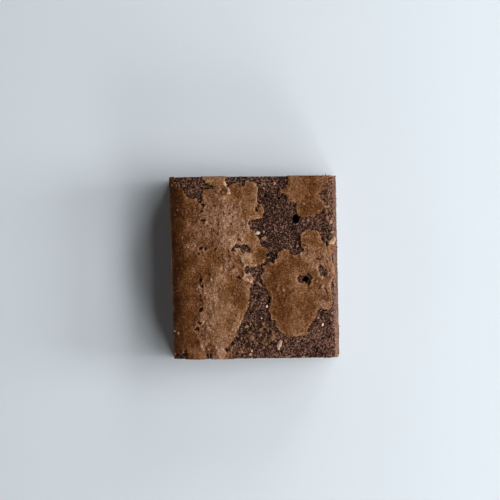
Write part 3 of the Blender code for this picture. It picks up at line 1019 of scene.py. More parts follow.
@dataclass(frozen=True)
class CrustRelief:
    """The crust's surface: blistered and pitted in places, smooth and finely wrinkled in others."""

    crust: CrustMap
    layers: tuple[Layer, ...] = LAYERS
    folds: tuple[Fold, ...] = FOLDS
    rough_spots: tuple[Spot, ...] = (
        Spot(-8.5, 3.0, 4.0, 6.0, 0.7),
        Spot(-21.0, -7.5, 1.9, 5.0, 0.9),
        Spot(-21.8, -20.5, 2.6, 5.5, 1.0),
        Spot(-14.5, -32.0, 6.0, 4.0, 0.6),
        Spot(-14.0, 30.0, 4.0, 2.0, 0.9),
        Spot(14.0, 31.0, 4.0, 4.0, 0.3),
        Spot(14.0, -24.0, 6.0, 3.0, 0.3),
    )
    domes: tuple[Spot, ...] = (
        Spot(-2.0, 25.0, 3.2, 7.0, 0.25 * MM),
        Spot(13.0, -2.0, 7.0, 8.0, 0.35 * MM),
        Spot(13.0, -19.0, 6.0, 5.0, 0.30 * MM),
        Spot(20.0, 27.0, 5.0, 5.0, 0.30 * MM),
        Spot(-11.0, -14.0, 5.0, 10.0, 0.25 * MM),
        Spot(-25.0, -16.0, 3.0, 9.0, 0.25 * MM),
    )
    pits: tuple[Dent, ...] = (
        Dent(-19.5, 24.3, 0.7, 0.6, 0.6), Dent(-20.0, 22.0, 0.5, 0.5, 0.5),
        Dent(-19.5, 18.4, 1.6, 0.6, 0.6), Dent(-20.4, 16.0, 0.6, 0.5, 0.5),
        Dent(-11.7, 20.9, 0.5, 0.4, 0.4), Dent(-20.8, 7.6, 0.8, 0.7, 0.6),
        Dent(-21.5, 6.2, 0.6, 0.5, 0.5), Dent(-15.4, 7.6, 0.6, 0.6, 0.6),
        Dent(-19.2, 7.6, 0.6, 0.5, 0.5), Dent(-20.9, -4.0, 0.8, 0.6, 0.7),
        Dent(-20.5, -6.6, 0.6, 0.8, 0.6), Dent(-20.9, -9.8, 0.5, 0.6, 0.5),
        Dent(-20.9, -11.5, 0.5, 0.5, 0.5), Dent(-21.0, -15.4, 0.8, 0.8, 0.7),
        Dent(-22.0, -20.6, 0.8, 0.7, 0.6), Dent(-22.7, -22.8, 1.0, 0.8, 0.7),
        Dent(-17.5, -2.3, 0.5, 0.4, 0.3), Dent(-6.1, 10.9, 0.9, 0.4, 0.5),
        Dent(24.2, 3.2, 1.2, 0.4, 0.5), Dent(-6.6, -3.3, 1.1, 0.6, 0.6),
        Dent(-8.3, 19.7, 0.5, 0.5, 0.4), Dent(-9.3, 17.0, 0.6, 0.5, 0.3),
        Dent(29.3, -1.3, 0.5, 0.5, 0.5), Dent(27.5, -1.4, 0.4, 0.5, 0.4),
        Dent(29.2, -4.3, 0.4, 0.5, 0.4), Dent(-12.3, 29.6, 0.7, 0.5, 0.5),
    )
    net: Wrinkles = Wrinkles(61, 1.9 * MM, 1.9 * MM, 0.13 * MM, 0.4)
    grains: Grains = Grains(63, 0.85 * MM, 0.24 * MM, 0.35)
    fibres: Wrinkles = Wrinkles(75, 4.5 * MM, 1.5 * MM, 0.08 * MM, 0.2, -58.0, 4.0)
    fibre_patches: Waves = Waves(77, 5.0 * MM)
    fibrous: Range = (-0.25, 0.45)
    smooth_shares: tuple[float, ...] = (0.12, 0.20, 0.05, 0.10)
    ledges: Ledges = Ledges(79, 6.5 * MM)
    ledge_height: float = 0.12 * MM
    ledge_tone: float = 0.04
    pores: Pores = Pores(65, 1.4 * MM, 0.45 * MM, 0.24, 0.36)
    small_pores: Pores = Pores(66, 0.8 * MM, 0.32 * MM, 0.35, 0.42)
    waves: Waves = Waves(67, 2.6 * MM, 2, 0.16 * MM)
    rough_waves: Waves = Waves(69, 5.0 * MM, 2, 0.18)
    rough_range: Range = (0.12, 0.75)
    fold_waves: Waves = Waves(87, 0.9 * MM, 1, 0.6)

    def roughness(self, x: Array, y: Array) -> Array:
        """How blistered the crust is at each plan place, from 0 to 1.

        Args:
            x: Places across.
            y: Places back.

        Returns:
            One number for each place.
        """
        rough = sum(spot.at(x, y) for spot in self.rough_spots)
        rough = rough + self.rough_waves.over(x, y)
        moved = self.crust.ragged(x, y)
        for layer in self.layers:
            rough = rough + layer.rough * layer.share(layer.cover(*moved))
        return smooth_step(rough, *self.rough_range)

    def fine(self, x: Array, y: Array, rough: Array) -> Array:
        """Height of the wrinkles, pores and pits at each plan place, by how blistered it is.

        Args:
            x: Places across.
            y: Places back.
            rough: How blistered each place is, from 0 to 1.

        Returns:
            One height for each place.
        """
        places = plan_points(x, y)
        net, grains, pores, small_pores = (rising(least, rough) for least in self.smooth_shares)
        fibres = smooth_step(self.fibre_patches.at(places), *self.fibrous)
        height = net * self.net.at(x, y) + grains * self.grains.at(places) + fibres * self.fibres.at(x, y)
        height -= pores * self.pores.at(places) + small_pores * self.small_pores.at(places)
        moved = self.crust.ragged(x, y)
        for pit in self.pits:
            height += pit.lip(*moved) - pit.at(*moved)
        return height

    def broad(self, x: Array, y: Array) -> tuple[Array, Array]:
        """Work out the crust's domes, layers and folds.

        Args:
            x: Places across.
            y: Places back.

        Returns:
            The height above the sheet's even level and the tone to add, at each plan place.
        """
        height = sum(dome.at(x, y) for dome in self.domes)
        height = height + self.waves.over(x, y)
        ledges = self.ledges.at(x, y)
        height = height + self.ledge_height * ledges
        # The ledges' steps shift the tone, giving each layer its own tone and each raised lip a painted
        # highlight.
        tone = sum(spot.at(x, y) for spot in TONE_SPOTS) + self.ledge_tone * (ledges - 0.5)
        moved = self.crust.ragged(x, y)
        for layer in self.layers:
            cover = layer.cover(*moved)
            height = height + layer.step(cover)
            # Each patch's edge adds a painted highlight to the tone.
            tone = tone + layer.edge_highlight(cover) + layer.tone * layer.share(cover)
        uneven = 1.0 + self.fold_waves.over(x, y)
        for fold in self.folds:
            near = fold.at(*moved) * uneven
            height = height + fold.height * MM * near
            # The fold's tone is partly a painted highlight on its crest.
            tone = tone + fold.tone * near
        return height, tone


# Finishes


SPECK_RADIUS = 0.42
SHEEN_TINT = (1.0, 0.80, 0.70, 1.0)


@dataclass(frozen=True)
class Speckle:
    """One noise of a finish: wave length in metres, detail, weight, shift and stretch along Y."""

    length: float
    detail: float
    weight: float
    offset: float = 0.0
    stretch: float = 1.0


@dataclass
class NodeSheet:
    """A material's node tree, with short ways to add the nodes that a baked surface needs."""

    name: str
    roughness: float
    specular: float = 0.5
    material: bpy.types.Material = field(init=False)

    def __post_init__(self) -> None:
        """Start the material with its shader and the piece's own coordinates."""
        self.material = bpy.data.materials.new(self.name)
        self.material.use_nodes = True
        self.nodes = self.material.node_tree.nodes
        self.shader = self.nodes["Principled BSDF"]
        self.fill(self.shader, {"Roughness": self.roughness, "Specular IOR Level": self.specular})
        self.place = self.nodes.new("ShaderNodeTexCoord").outputs["Object"]

    def fill(self, node: bpy.types.Node, inputs: dict) -> bpy.types.Node:
        """Give each listed input of a node its number or colour, or the socket that leads it.

        Args:
            node: The node.
            inputs: A number, colour or socket for each input's name.

        Returns:
            The same node.
        """
        for key, value in inputs.items():
            if isinstance(value, Socket):
                self.material.node_tree.links.new(value, node.inputs[key])
            else:
                node.inputs[key].default_value = value
        return node

    def node(self, kind: str, inputs: dict) -> bpy.types.Node:
        """Add a node of one kind with its inputs."""
        return self.fill(self.nodes.new(f"ShaderNode{kind}"), inputs)

    def noise(
        self, length: float, detail: float = 2.0, offset: float = 0.0, stretch: float = 1.0
    ) -> Socket:
        """A noise pattern of one wave length in metres, which may be drawn out along Y.

        Args:
            length: The wave length, in metres.
            detail: How much finer noise it has.
            offset: How far the pattern is shifted, in metres.
            stretch: How many times longer it is along Y.

        Returns:
            The pattern's socket.
        """
        spread = {"Vector": self.place, "Location": (offset,) * 3, "Scale": (1.0, 1.0 / stretch, 1.0)}
        places = self.node("Mapping", spread).outputs["Vector"]
        noise = self.node("TexNoise", {"Vector": places, "Scale": 1.0 / length, "Detail": detail})
        return noise.outputs["Fac"]

    def grains(self, spacing: float, share: float) -> Socket:
        """Scattered round specks.

        Args:
            spacing: The distance between neighbouring specks, in metres.
            share: The share of the places that hold a speck.

        Returns:
            1 on a speck and 0 off it.
        """
        cells = self.node("TexVoronoi", {"Vector": self.place, "Scale": 1.0 / spacing})
        split = self.node("SeparateColor", {"Color": cells.outputs["Color"]})
        chosen = self.math("LESS_THAN", split.outputs["Red"], share)
        near = self.math("LESS_THAN", cells.outputs["Distance"], SPECK_RADIUS)
        return self.math("MULTIPLY", chosen, near)

    def math(self, operation: str, *values: Socket | float) -> Socket:
        """Work out one sum on sockets and numbers.

        Args:
            operation: The sum to work out.
            values: The sockets and numbers, in order.

        Returns:
            The result's socket.
        """
        step = self.nodes.new("ShaderNodeMath")
        step.operation = operation
        return self.fill(step, dict(enumerate(values))).outputs["Value"]

    def attribute(self, name: str) -> Socket:
        """A number kept on the piece's own points.

        Args:
            name: The number's name.

        Returns:
            The number's socket.
        """
        attribute = self.nodes.new("ShaderNodeAttribute")
        attribute.attribute_name = name
        return attribute.outputs["Fac"]

    def ramp(self, value: Socket, stops: list[tuple[float, Colour]]) -> Socket:
        """A colour that runs through stops as a value rises.

        Args:
            value: The socket that gives the value.
            stops: Each stop's place and colour.

        Returns:
            The colour's socket.
        """
        ramp = self.node("ValToRGB", {"Fac": value})
        elements = ramp.color_ramp.elements
        while len(elements) < len(stops):
            elements.new(0.5)
        for element, (place, colour) in zip(elements, stops):
            element.position = place
            element.color = (*colour, 1.0)
        return ramp.outputs["Color"]

    def blend(self, amount: Socket, first: Socket, second: Socket) -> Socket:
        """Mix two colours by an amount from 0 to 1.

        Args:
            amount: The second colour's share.
            first: The first colour.
            second: The second colour.

        Returns:
            The mixed colour's socket.
        """
        mix = self.nodes.new("ShaderNodeMix")
        mix.data_type = "RGBA"
        return self.fill(mix, {"Factor": amount, "A": first, "B": second}).outputs["Result"]

    def sum(self, *terms: tuple[Socket, float]) -> Socket:
        """Add values, each with its own weight and counted from its middle, 0.5, round 0.5.

        Args:
            terms: Each value's socket and weight.

        Returns:
            The result's socket.
        """
        total = 0.5 - 0.5 * sum(weight for _, weight in terms)
        for socket, weight in terms:
            total = self.math("MULTIPLY_ADD", socket, weight, total)
        return total

    def bump(self, height: Socket, depth: float) -> None:
        """Raise the shading by a height pattern, over a depth in metres."""
        bump = self.node("Bump", {"Height": height, "Distance": depth, "Strength": 1.0})
        self.fill(self.shader, {"Normal": bump.outputs["Normal"]})

    def speckled(self, relief: float, speckles: tuple[Speckle, ...]) -> Socket:
        """The tone kept on the mesh, with its relief and some noises added, each by its weight; the relief
        paints shade into hollows and pores and a highlight onto crests.

        Args:
            relief: The relief's weight.
            speckles: The noises to add.

        Returns:
            The tone's socket.
        """
        # The relief term is painted shade in hollows and pores and painted highlight on crests.
        terms = [(self.attribute("tone"), 1.0), (self.attribute("relief"), relief)]
        for part in speckles:
            terms.append((self.noise(part.length, part.detail, part.offset, part.stretch), part.weight))
        return self.sum(*terms)

    def fine_bump(self, lengths: Range, detail: float, depth: float) -> None:
        """Raise the shading by two even noises, the second with a detail of its own."""
        short, long = lengths
        self.bump(self.sum((self.noise(short, 3.0), 0.6), (self.noise(long, detail), 0.6)), depth)

    def colour(self, colour: Socket | tuple[float, ...]) -> None:
        """Give the surface one colour or the colours of a socket."""
        self.fill(self.shader, {"Base Color": colour})


@dataclass(frozen=True)
class CrumbFinish:
    """Chocolate crumb, open or cut: almost black in its pores, with paler grains; the black in the pores is
    painted shade from the relief.
    """

    name: str = "open_chocolate_crumb"
    places: tuple[float, ...] = (0.17, 0.37, 0.52, 0.72, 0.92)
    browns: tuple[Colour, ...] = (
        (0.008, 0.004, 0.003), (0.026, 0.008, 0.005), (0.061, 0.022, 0.0125), (0.152, 0.067, 0.043),
        (0.285, 0.158, 0.110),
    )
    roughness: float = 0.85
    specular: float = 0.12
    sheen: float = 0.0
    relief: float = 0.75
    speckles: tuple[Speckle, ...] = (
        Speckle(0.55 * MM, 2.0, 3.10), Speckle(1.3 * MM, 2.0, 0.80, 0.1), Speckle(6.0 * MM, 2.0, 0.35, 0.3),
    )
    pale_grains: float = 0.085
    bump_lengths: Range = (0.35 * MM, 1.1 * MM)
    bump_depth: float = 0.22 * MM

    def material(self) -> bpy.types.Material:
        """Build the finish, led by the relief and tone kept on the mesh.

        Returns:
            The material.
        """
        sheet = NodeSheet(self.name, self.roughness, self.specular)
        if self.sheen > 0.0:
            soft = {"Sheen Weight": self.sheen, "Sheen Roughness": 0.35, "Sheen Tint": SHEEN_TINT}
            sheet.fill(sheet.shader, soft)
        tone = sheet.speckled(self.relief, self.speckles)
        brown = sheet.ramp(tone, list(zip(self.places, self.browns)))
        pale = sheet.ramp(sheet.noise(2.0 * MM), list(zip((0.3, 0.7), self.browns[-2:])))
        sheet.colour(sheet.blend(sheet.grains(0.60 * MM, self.pale_grains), brown, pale))
        sheet.fine_bump(self.bump_lengths, 2.0, self.bump_depth)
        return sheet.material


CUT_FINISH = CrumbFinish(
    name="cut_chocolate_crumb",
    places=(0.15, 0.34, 0.52, 0.74, 0.98),
    browns=(
        (0.012, 0.005, 0.003), (0.042, 0.016, 0.009), (0.092, 0.038, 0.021), (0.190, 0.090, 0.056),
        (0.300, 0.170, 0.115),
    ),
    roughness=0.7,
    specular=0.25,
    sheen=0.08,
    # The relief's weight paints shade into the cut's pores and hollows.
    relief=0.80,
    speckles=(
        Speckle(0.6 * MM, 3.0, 1.10), Speckle(1.7 * MM, 2.0, 0.60, 0.1), Speckle(7.0 * MM, 3.0, 0.50, 0.3),
    ),
    pale_grains=0.05,
    bump_lengths=(0.4 * MM, 1.3 * MM),
    bump_depth=0.28 * MM,
)


@dataclass(frozen=True)
class CrustFinish:
    """Papery crust: golden brown where smooth, paler and pinker where blistered."""

    places: tuple[float, ...] = (0.30, 0.42, 0.52, 0.64, 0.80, 1.0)
    smooth: tuple[Colour, ...] = (
        (0.045, 0.0115, 0.0022), (0.088, 0.0265, 0.0052), (0.133, 0.0475, 0.0120),
        (0.207, 0.0885, 0.0350), (0.330, 0.177, 0.096), (0.530, 0.325, 0.205),
    )
    blistered: tuple[Colour, ...] = (
        (0.045, 0.0125, 0.0035), (0.088, 0.0290, 0.0085), (0.135, 0.0515, 0.0185),
        (0.209, 0.0925, 0.0450), (0.335, 0.182, 0.110), (0.540, 0.340, 0.245),
    )
    roughness: float = 0.7
    specular: float = 0.09
    relief: float = 0.72
    speckles: tuple[Speckle, ...] = (
        Speckle(0.45 * MM, 3.0, 0.95), Speckle(1.3 * MM, 3.0, 0.22, 0.1),
        Speckle(1.2 * MM, 2.0, 0.14, 0.4, 6.0), Speckle(4.5 * MM, 3.0, 0.16, 0.2),
    )

    def material(self) -> bpy.types.Material:
        """Build the finish, led by the tone, the relief and the blistering kept on the mesh; the relief
        paints shade into pits and a highlight onto crests.

        Returns:
            The material.
        """
        sheet = NodeSheet("papery_crust", self.roughness, self.specular)
        tone = sheet.speckled(self.relief, self.speckles)
        golden = sheet.ramp(tone, list(zip(self.places, self.smooth)))
        pinkish = sheet.ramp(tone, list(zip(self.places, self.blistered)))
        sheet.colour(sheet.blend(sheet.attribute("blisters"), golden, pinkish))
        sheet.fine_bump((0.4 * MM, 1.2 * MM), 3.0, 0.30 * MM)
        return sheet.material


@dataclass(frozen=True)
class DryFinish:
    """A dry, finely speckled surface of two tones, as on a broken edge or a loose flake."""

    name: str
    colours: tuple[Colour, Colour]
    length: float = 0.5 * MM
    places: Range = (0.32, 0.68)
    depth: float = 0.08 * MM
    roughness: float = 0.7
    specular: float = 0.5

    def material(self) -> bpy.types.Material:
        """Build the finish with a fine crumbly pattern.

        Returns:
            The material.
        """
        sheet = NodeSheet(self.name, self.roughness, self.specular)
        pattern = sheet.noise(self.length, 3.0)
        sheet.colour(sheet.ramp(pattern, list(zip(self.places, self.colours))))
        sheet.bump(pattern, self.depth)
        return sheet.material


EDGE_FINISH = DryFinish(
    name="broken_crust_edge",
    colours=((0.100, 0.045, 0.020), (0.420, 0.255, 0.165)),
    length=0.6 * MM,
    places=(0.38, 0.64),
    depth=0.15 * MM,
    roughness=0.8,
    specular=0.12,
)


class FlakeTone(Enum):
    """The kinds of loose flake, each by its darker and its lighter colour."""

    CRUST = ((0.150, 0.070, 0.032), (0.300, 0.170, 0.100))
    PINK = ((0.280, 0.135, 0.090), (0.520, 0.320, 0.245))
    PALE = ((0.520, 0.390, 0.330), (0.820, 0.700, 0.620))
    ORANGE = ((0.360, 0.115, 0.045), (0.520, 0.210, 0.090))
    CREAM = ((0.400, 0.235, 0.125), (0.640, 0.440, 0.280))
    YELLOW = ((0.240, 0.120, 0.042), (0.430, 0.255, 0.110))
    OLIVE = ((0.120, 0.053, 0.020), (0.255, 0.138, 0.062))


@dataclass(frozen=True)
class LooseCrumbFinish:
    """Separate grains, each with its own tone from the first colour to the last."""

    name: str
    places: tuple[float, ...]
    colours: tuple[Colour, ...]
    speckle: float
    roughness: float
    specular: float

    def material(self) -> bpy.types.Material:
        """Build the finish from the tone kept on each grain.

        Returns:
            The material.
        """
        sheet = NodeSheet(self.name, self.roughness, self.specular)
        tone = sheet.sum((sheet.attribute("tone"), 0.9), (sheet.noise(0.3 * MM, 2.0), self.speckle))
        sheet.colour(sheet.ramp(tone, list(zip(self.places, self.colours))))
        sheet.bump(sheet.noise(0.25 * MM, 2.0), 0.05 * MM)
        return sheet.material


CRUST_CRUMB_FINISH = LooseCrumbFinish(
    name="loose_crust_crumb",
    places=(0.10, 0.55, 0.85, 1.0),
    colours=((0.075, 0.028, 0.012), (0.190, 0.088, 0.042), (0.350, 0.200, 0.120), (0.620, 0.430, 0.340)),
    speckle=0.4,
    roughness=0.75,
    specular=0.2,
)
GRAIN_FINISH = LooseCrumbFinish(
    name="crumb_grain",
    places=(0.05, 0.50, 0.82, 1.0),
    colours=((0.020, 0.008, 0.005), (0.068, 0.025, 0.015), (0.170, 0.080, 0.052), (0.300, 0.175, 0.125)),
    speckle=0.3,
    roughness=0.8,
    specular=0.25,
)


@dataclass(frozen=True)
class FloorFinish:
    """Plain pale surface under the cake."""

    colour: Colour = (0.70, 0.76, 0.81)
    roughness: float = 0.9
    specular: float = 0.05

    def material(self) -> bpy.types.Material:
        """Build the plain finish.

        Returns:
            The material.
        """
        sheet = NodeSheet("pale_floor", self.roughness, self.specular)
        sheet.colour((*self.colour, 1.0))
        return sheet.material


# Modelling helpers


AT_RIM = 0.4999
BELOW_TOP = -1e-4


def deselect_all() -> None:
    """Leave nothing selected."""
    bpy.ops.object.select_all(action="DESELECT")


def added(name: str) -> bpy.types.Object:
    """Name the object that an operator has just added.

    Args:
        name: The object's name and its mesh's.

    Returns:
        The object.
    """
    piece = bpy.context.object
    piece.name = name
    piece.data.name = name
    return piece


def read_rows(parts: bpy.types.bpy_prop_collection, key: str) -> Array:
    """Three numbers from each of a mesh's points or faces, such as its place, one row each.

    Args:
        parts: The mesh's points or faces.
        key: What to read of each.

    Returns:
        One row of three numbers for each part.
    """
    flat = np.empty(len(parts) * 3)
    parts.foreach_get(key, flat)
    return flat.reshape(-1, 3)


def write_points(mesh: bpy.types.Mesh, points: Array) -> None:
    """Move the mesh's points."""
    mesh.vertices.foreach_set("co", points.ravel())
    mesh.update()


def keep_number(mesh: bpy.types.Mesh, name: str, values: Array) -> None:
    """Keep one number on each of the mesh's points, for its material."""
    mesh.attributes.new(name, "FLOAT", "POINT").data.foreach_set("value", values.astype(np.float32))


def read_number(mesh: bpy.types.Mesh, name: str) -> Array:
    """The number that each of the mesh's points keeps under a name.

    Args:
        mesh: The mesh.
        name: The number's name.

    Returns:
        One number for each point.
    """
    values = np.empty(len(mesh.vertices), np.float32)
    mesh.attributes[name].data.foreach_get("value", values)
    return values


def select_faces(piece: bpy.types.Object, chosen: Array) -> None:
    """Select some faces of a piece and nothing else, and leave it in edit mode.

    Args:
        piece: The object to edit.
        chosen: True for each face to select.
    """
    mesh = piece.data
    bpy.context.tool_settings.mesh_select_mode = (False, False, True)
    mesh.vertices.foreach_set("select", np.zeros(len(mesh.vertices), bool))
    mesh.edges.foreach_set("select", np.zeros(len(mesh.edges), bool))
    mesh.polygons.foreach_set("select", chosen)
    bpy.ops.object.mode_set(mode="EDIT")


def apply_modifier(piece: bpy.types.Object, kind: str, **settings: object) -> None:
    """Add a modifier, set it and apply it.

    Args:
        piece: The object, which is the active one.
        kind: The modifier's type.
        settings: The modifier's settings by name.
    """
    modifier = piece.modifiers.new(kind.lower(), kind)
    for key, value in settings.items():
        setattr(modifier, key, value)
    bpy.ops.object.modifier_apply(modifier=modifier.name)


def hand_over(piece: bpy.types.Object, slot: Slot) -> bpy.types.Object:
    """Ride a finished piece on the cake's body, in place of the plain solid.

    Args:
        piece: The finished object.
        slot: Not used.

    Returns:
        The same object.
    """
    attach(piece, BODY)
    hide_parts(NODE)
    log.info("%s: %d points, %d faces", piece.name, len(piece.data.vertices), len(piece.data.polygons))
    return piece


# The cake's body

CRUMB_TONES = (
    Spot(6.0, 17.0, 8.0, 13.0, -0.13), Spot(4.0, -12.0, 3.0, 8.0, -0.02),
    Spot(22.0, -27.0, 9.0, 6.0, 0.11), Spot(1.0, -27.0, 8.0, 6.0, -0.01),
    Spot(-22.0, 29.0, 5.0, 4.0, 0.11), Spot(0.0, -33.6, 15.0, 2.4, 0.08),
    Spot(28.0, 24.0, 2.5, 4.0, 0.05), Spot(24.0, 12.5, 4.0, 3.0, 0.06),
    Spot(28.0, 17.0, 3.0, 4.0, -0.05), Spot(23.0, 17.5, 4.0, 3.0, 0.04),
    Spot(32.5, 20.0, 1.6, 18.0, -0.08), Spot(-1.2, -13.0, 1.6, 3.0, 0.06),
    Spot(3.0, 12.0, 3.0, 3.0, -0.05), Spot(-1.0, -4.0, 2.0, 3.0, 0.05),
    Spot(8.0, -29.0, 3.0, 2.5, -0.07), Spot(-4.0, -28.0, 3.0, 2.5, -0.07),
    Spot(32.5, -20.0, 1.6, 16.0, -0.05),
)


@dataclass
class CakeBody:
    """The crumb: one closed mesh with an open top between the crust, four cuts and a flat base."""

    form: CakeForm
    crust: CrustMap
    sheets: tuple[Outline, ...]
    cells_across: int = 126
    cells_back: int = 136
    side_rows: int = 66
    under_crust: float = 0.30 * MM
    open_edge: Range = (-0.35 * MM, 0.05 * MM)
    relief_level: float = 0.55
    relief_scale: float = 1.8 * MM
    base_fade: Range = (-0.2 * MM, 0.8 * MM)
    base_inset: float = 0.35 * MM
    refined_under: float = 0.6 * MM
    usual_cut_depth: float = 0.55 * MM
    rim_share: Range = (0.9, 1.0)
    clean_foot: Range = (0.03, 0.06)
    rim_waves: Waves = Waves(91, 2.5 * MM, 2, 0.8 * MM)
    rim_depth: Range = (0.5 * MM, 5.0 * MM)
    # How much paler each rim is and how far it reaches: the right one partly pressed crumb and partly a
    # painted sheen, the left one a painted highlight.
    right_rim: Range = (0.04, 1.8 * MM)
    left_rim_highlight: Range = (0.15, 0.5 * MM)

    def build(self) -> bpy.types.Object:
        """Make the body and dress it.

        Returns:
            The finished piece.
        """
        piece = self._block()
        self._refine(piece)
        piece.data.materials.append(CrumbFinish().material())
        piece.data.materials.append(CUT_FINISH.material())
        is_cut = read_rows(piece.data.polygons, "center")[:, 2] < BELOW_TOP
        piece.data.polygons.foreach_set("material_index", is_cut.astype(int))
        self._shape(piece)
        piece.data.shade_smooth()
        return hand_over(piece, Slot.CRUMB)

    def _block(self) -> bpy.types.Object:
        """A unit block: a grid for the top, its rim drawn down in rows, and one flat base.

        Returns:
            The block.
        """
        deselect_all()
        bpy.ops.mesh.primitive_grid_add(
            x_subdivisions=self.cells_across, y_subdivisions=self.cells_back, size=1.0
        )
        piece = added("cake_body")
        bpy.ops.object.mode_set(mode="EDIT")
        bpy.ops.mesh.select_mode(type="EDGE")
        bpy.ops.mesh.select_all(action="DESELECT")
        bpy.ops.mesh.select_non_manifold()
        for _ in range(self.side_rows):
            bpy.ops.mesh.extrude_region_move(
                TRANSFORM_OT_translate={"value": (0.0, 0.0, -1.0 / self.side_rows)}
            )
        bpy.ops.mesh.edge_face_add()
        bpy.ops.mesh.select_all(action="SELECT")
        bpy.ops.mesh.normals_make_consistent(inside=False)
        bpy.ops.object.mode_set(mode="OBJECT")
        return piece

    def _plan(self, points: Array) -> tuple[Array, Array]:
        """Where the unit block's points lie in plan."""
        x, y = self.form.round_corner(points[:, 0] * self.form.width, points[:, 1] * self.form.depth)
        return self.form.lean_in(x, y, 1.0 + points[:, 2])

    def _refine(self, piece: bpy.types.Object) -> None:
        """Cut the faces of the open crumb finer.

        Args:
            piece: The unit block.
        """
        centres = read_rows(piece.data.polygons, "center")
        x, y = self._plan(centres)
        cover = self.crust.cover(self.sheets, x, y)
        select_faces(piece, (centres[:, 2] > BELOW_TOP) & (cover < self.refined_under))
        bpy.ops.mesh.subdivide(number_cuts=1)
        bpy.ops.object.mode_set(mode="OBJECT")

    def _shape(self, piece: bpy.types.Object) -> None:
        """Give the unit block the cake's form and relief.

        Args:
            piece: The unit block, cut finer.
        """
        unit = read_rows(piece.data.vertices, "co")
        share = 1.0 + unit[:, 2]
        x, y = self._plan(unit)
        at_rim = np.abs(unit[:, :2]) > AT_RIM
        on_side = at_rim.any(axis=1)
        smooth_top = self.form.top(x, y)
        cover = self.crust.cover(self.sheets, x, y)
        crumb = CrumbRelief().height(x, y)
        is_open = smooth_step(-cover, *self.open_edge)
        rise = is_open * crumb - (1.0 - is_open) * self.under_crust
        from_rim = (1.0 - share) * smooth_top
        points = np.stack([self.form.pull_in(x, y, from_rim), y, share * smooth_top], axis=1)

        cut = CutRelief(CutBubbles(self.form))
        edge = np.where(unit[:, 0] > AT_RIM, 0.0, self.form.rounding(from_rim, self.form.rim_radius))
        depth = cut.depth(points, share) + edge
        above_base = smooth_step(points[:, 2], *self.base_fade)
        depth = self.base_inset + (depth - self.base_inset) * above_base
        outward = np.where(at_rim, np.sign(unit[:, :2]), 0.0)
        outward /= np.maximum(np.linalg.norm(outward, axis=1), 1.0)[:, None]
        points[:, :2] -= outward * (depth * on_side)[:, None]
        points[:, 2] += np.where(on_side, smooth_step(share, *self.rim_share), 1.0) * rise
        write_points(piece.data, points)

        tone = 0.5 + sum(spot.at(x, y) for spot in CRUMB_TONES)
        tone = tone + self._rim_tone(x, y, from_rim)
        keep_number(piece.data, "tone", tone)
        # The relief kept here darkens the pores and hollows and pales the grains in the finishes: painted
        # shade and highlight.
        relief = np.where(on_side, self.usual_cut_depth - depth, rise)
        relief = np.clip(self.relief_level + relief / self.relief_scale, 0.0, 1.0)
        keep_number(piece.data, "relief", relief)
        keep_number(piece.data, "bare", np.where(on_side, smooth_step(share, *self.clean_foot), is_open))

    def _rim_tone(self, x: Array, y: Array, below: Array) -> Array:
        """Paler rims where the right and left cuts meet the top: on the left a painted highlight, on the
        right partly pressed crumb and partly a painted sheen.

        Args:
            x: Places across.
            y: Places back.
            below: How far each place lies below the rim.

        Returns:
            The tone to add at each place.
        """
        waves = self.rim_waves.over(x, y)
        tone = np.zeros(x.shape)
        for (paler, reach), side in ((self.right_rim, 1), (self.left_rim_highlight, -1)):
            inside = self.form.beside_cut(x, y, (side, -side), (side, side)) + waves
            tone += paler * np.exp(-(np.maximum(inside, 0.0) / reach) ** 2)
        return tone * (1.0 - smooth_step(below, *self.rim_depth))


# The crust

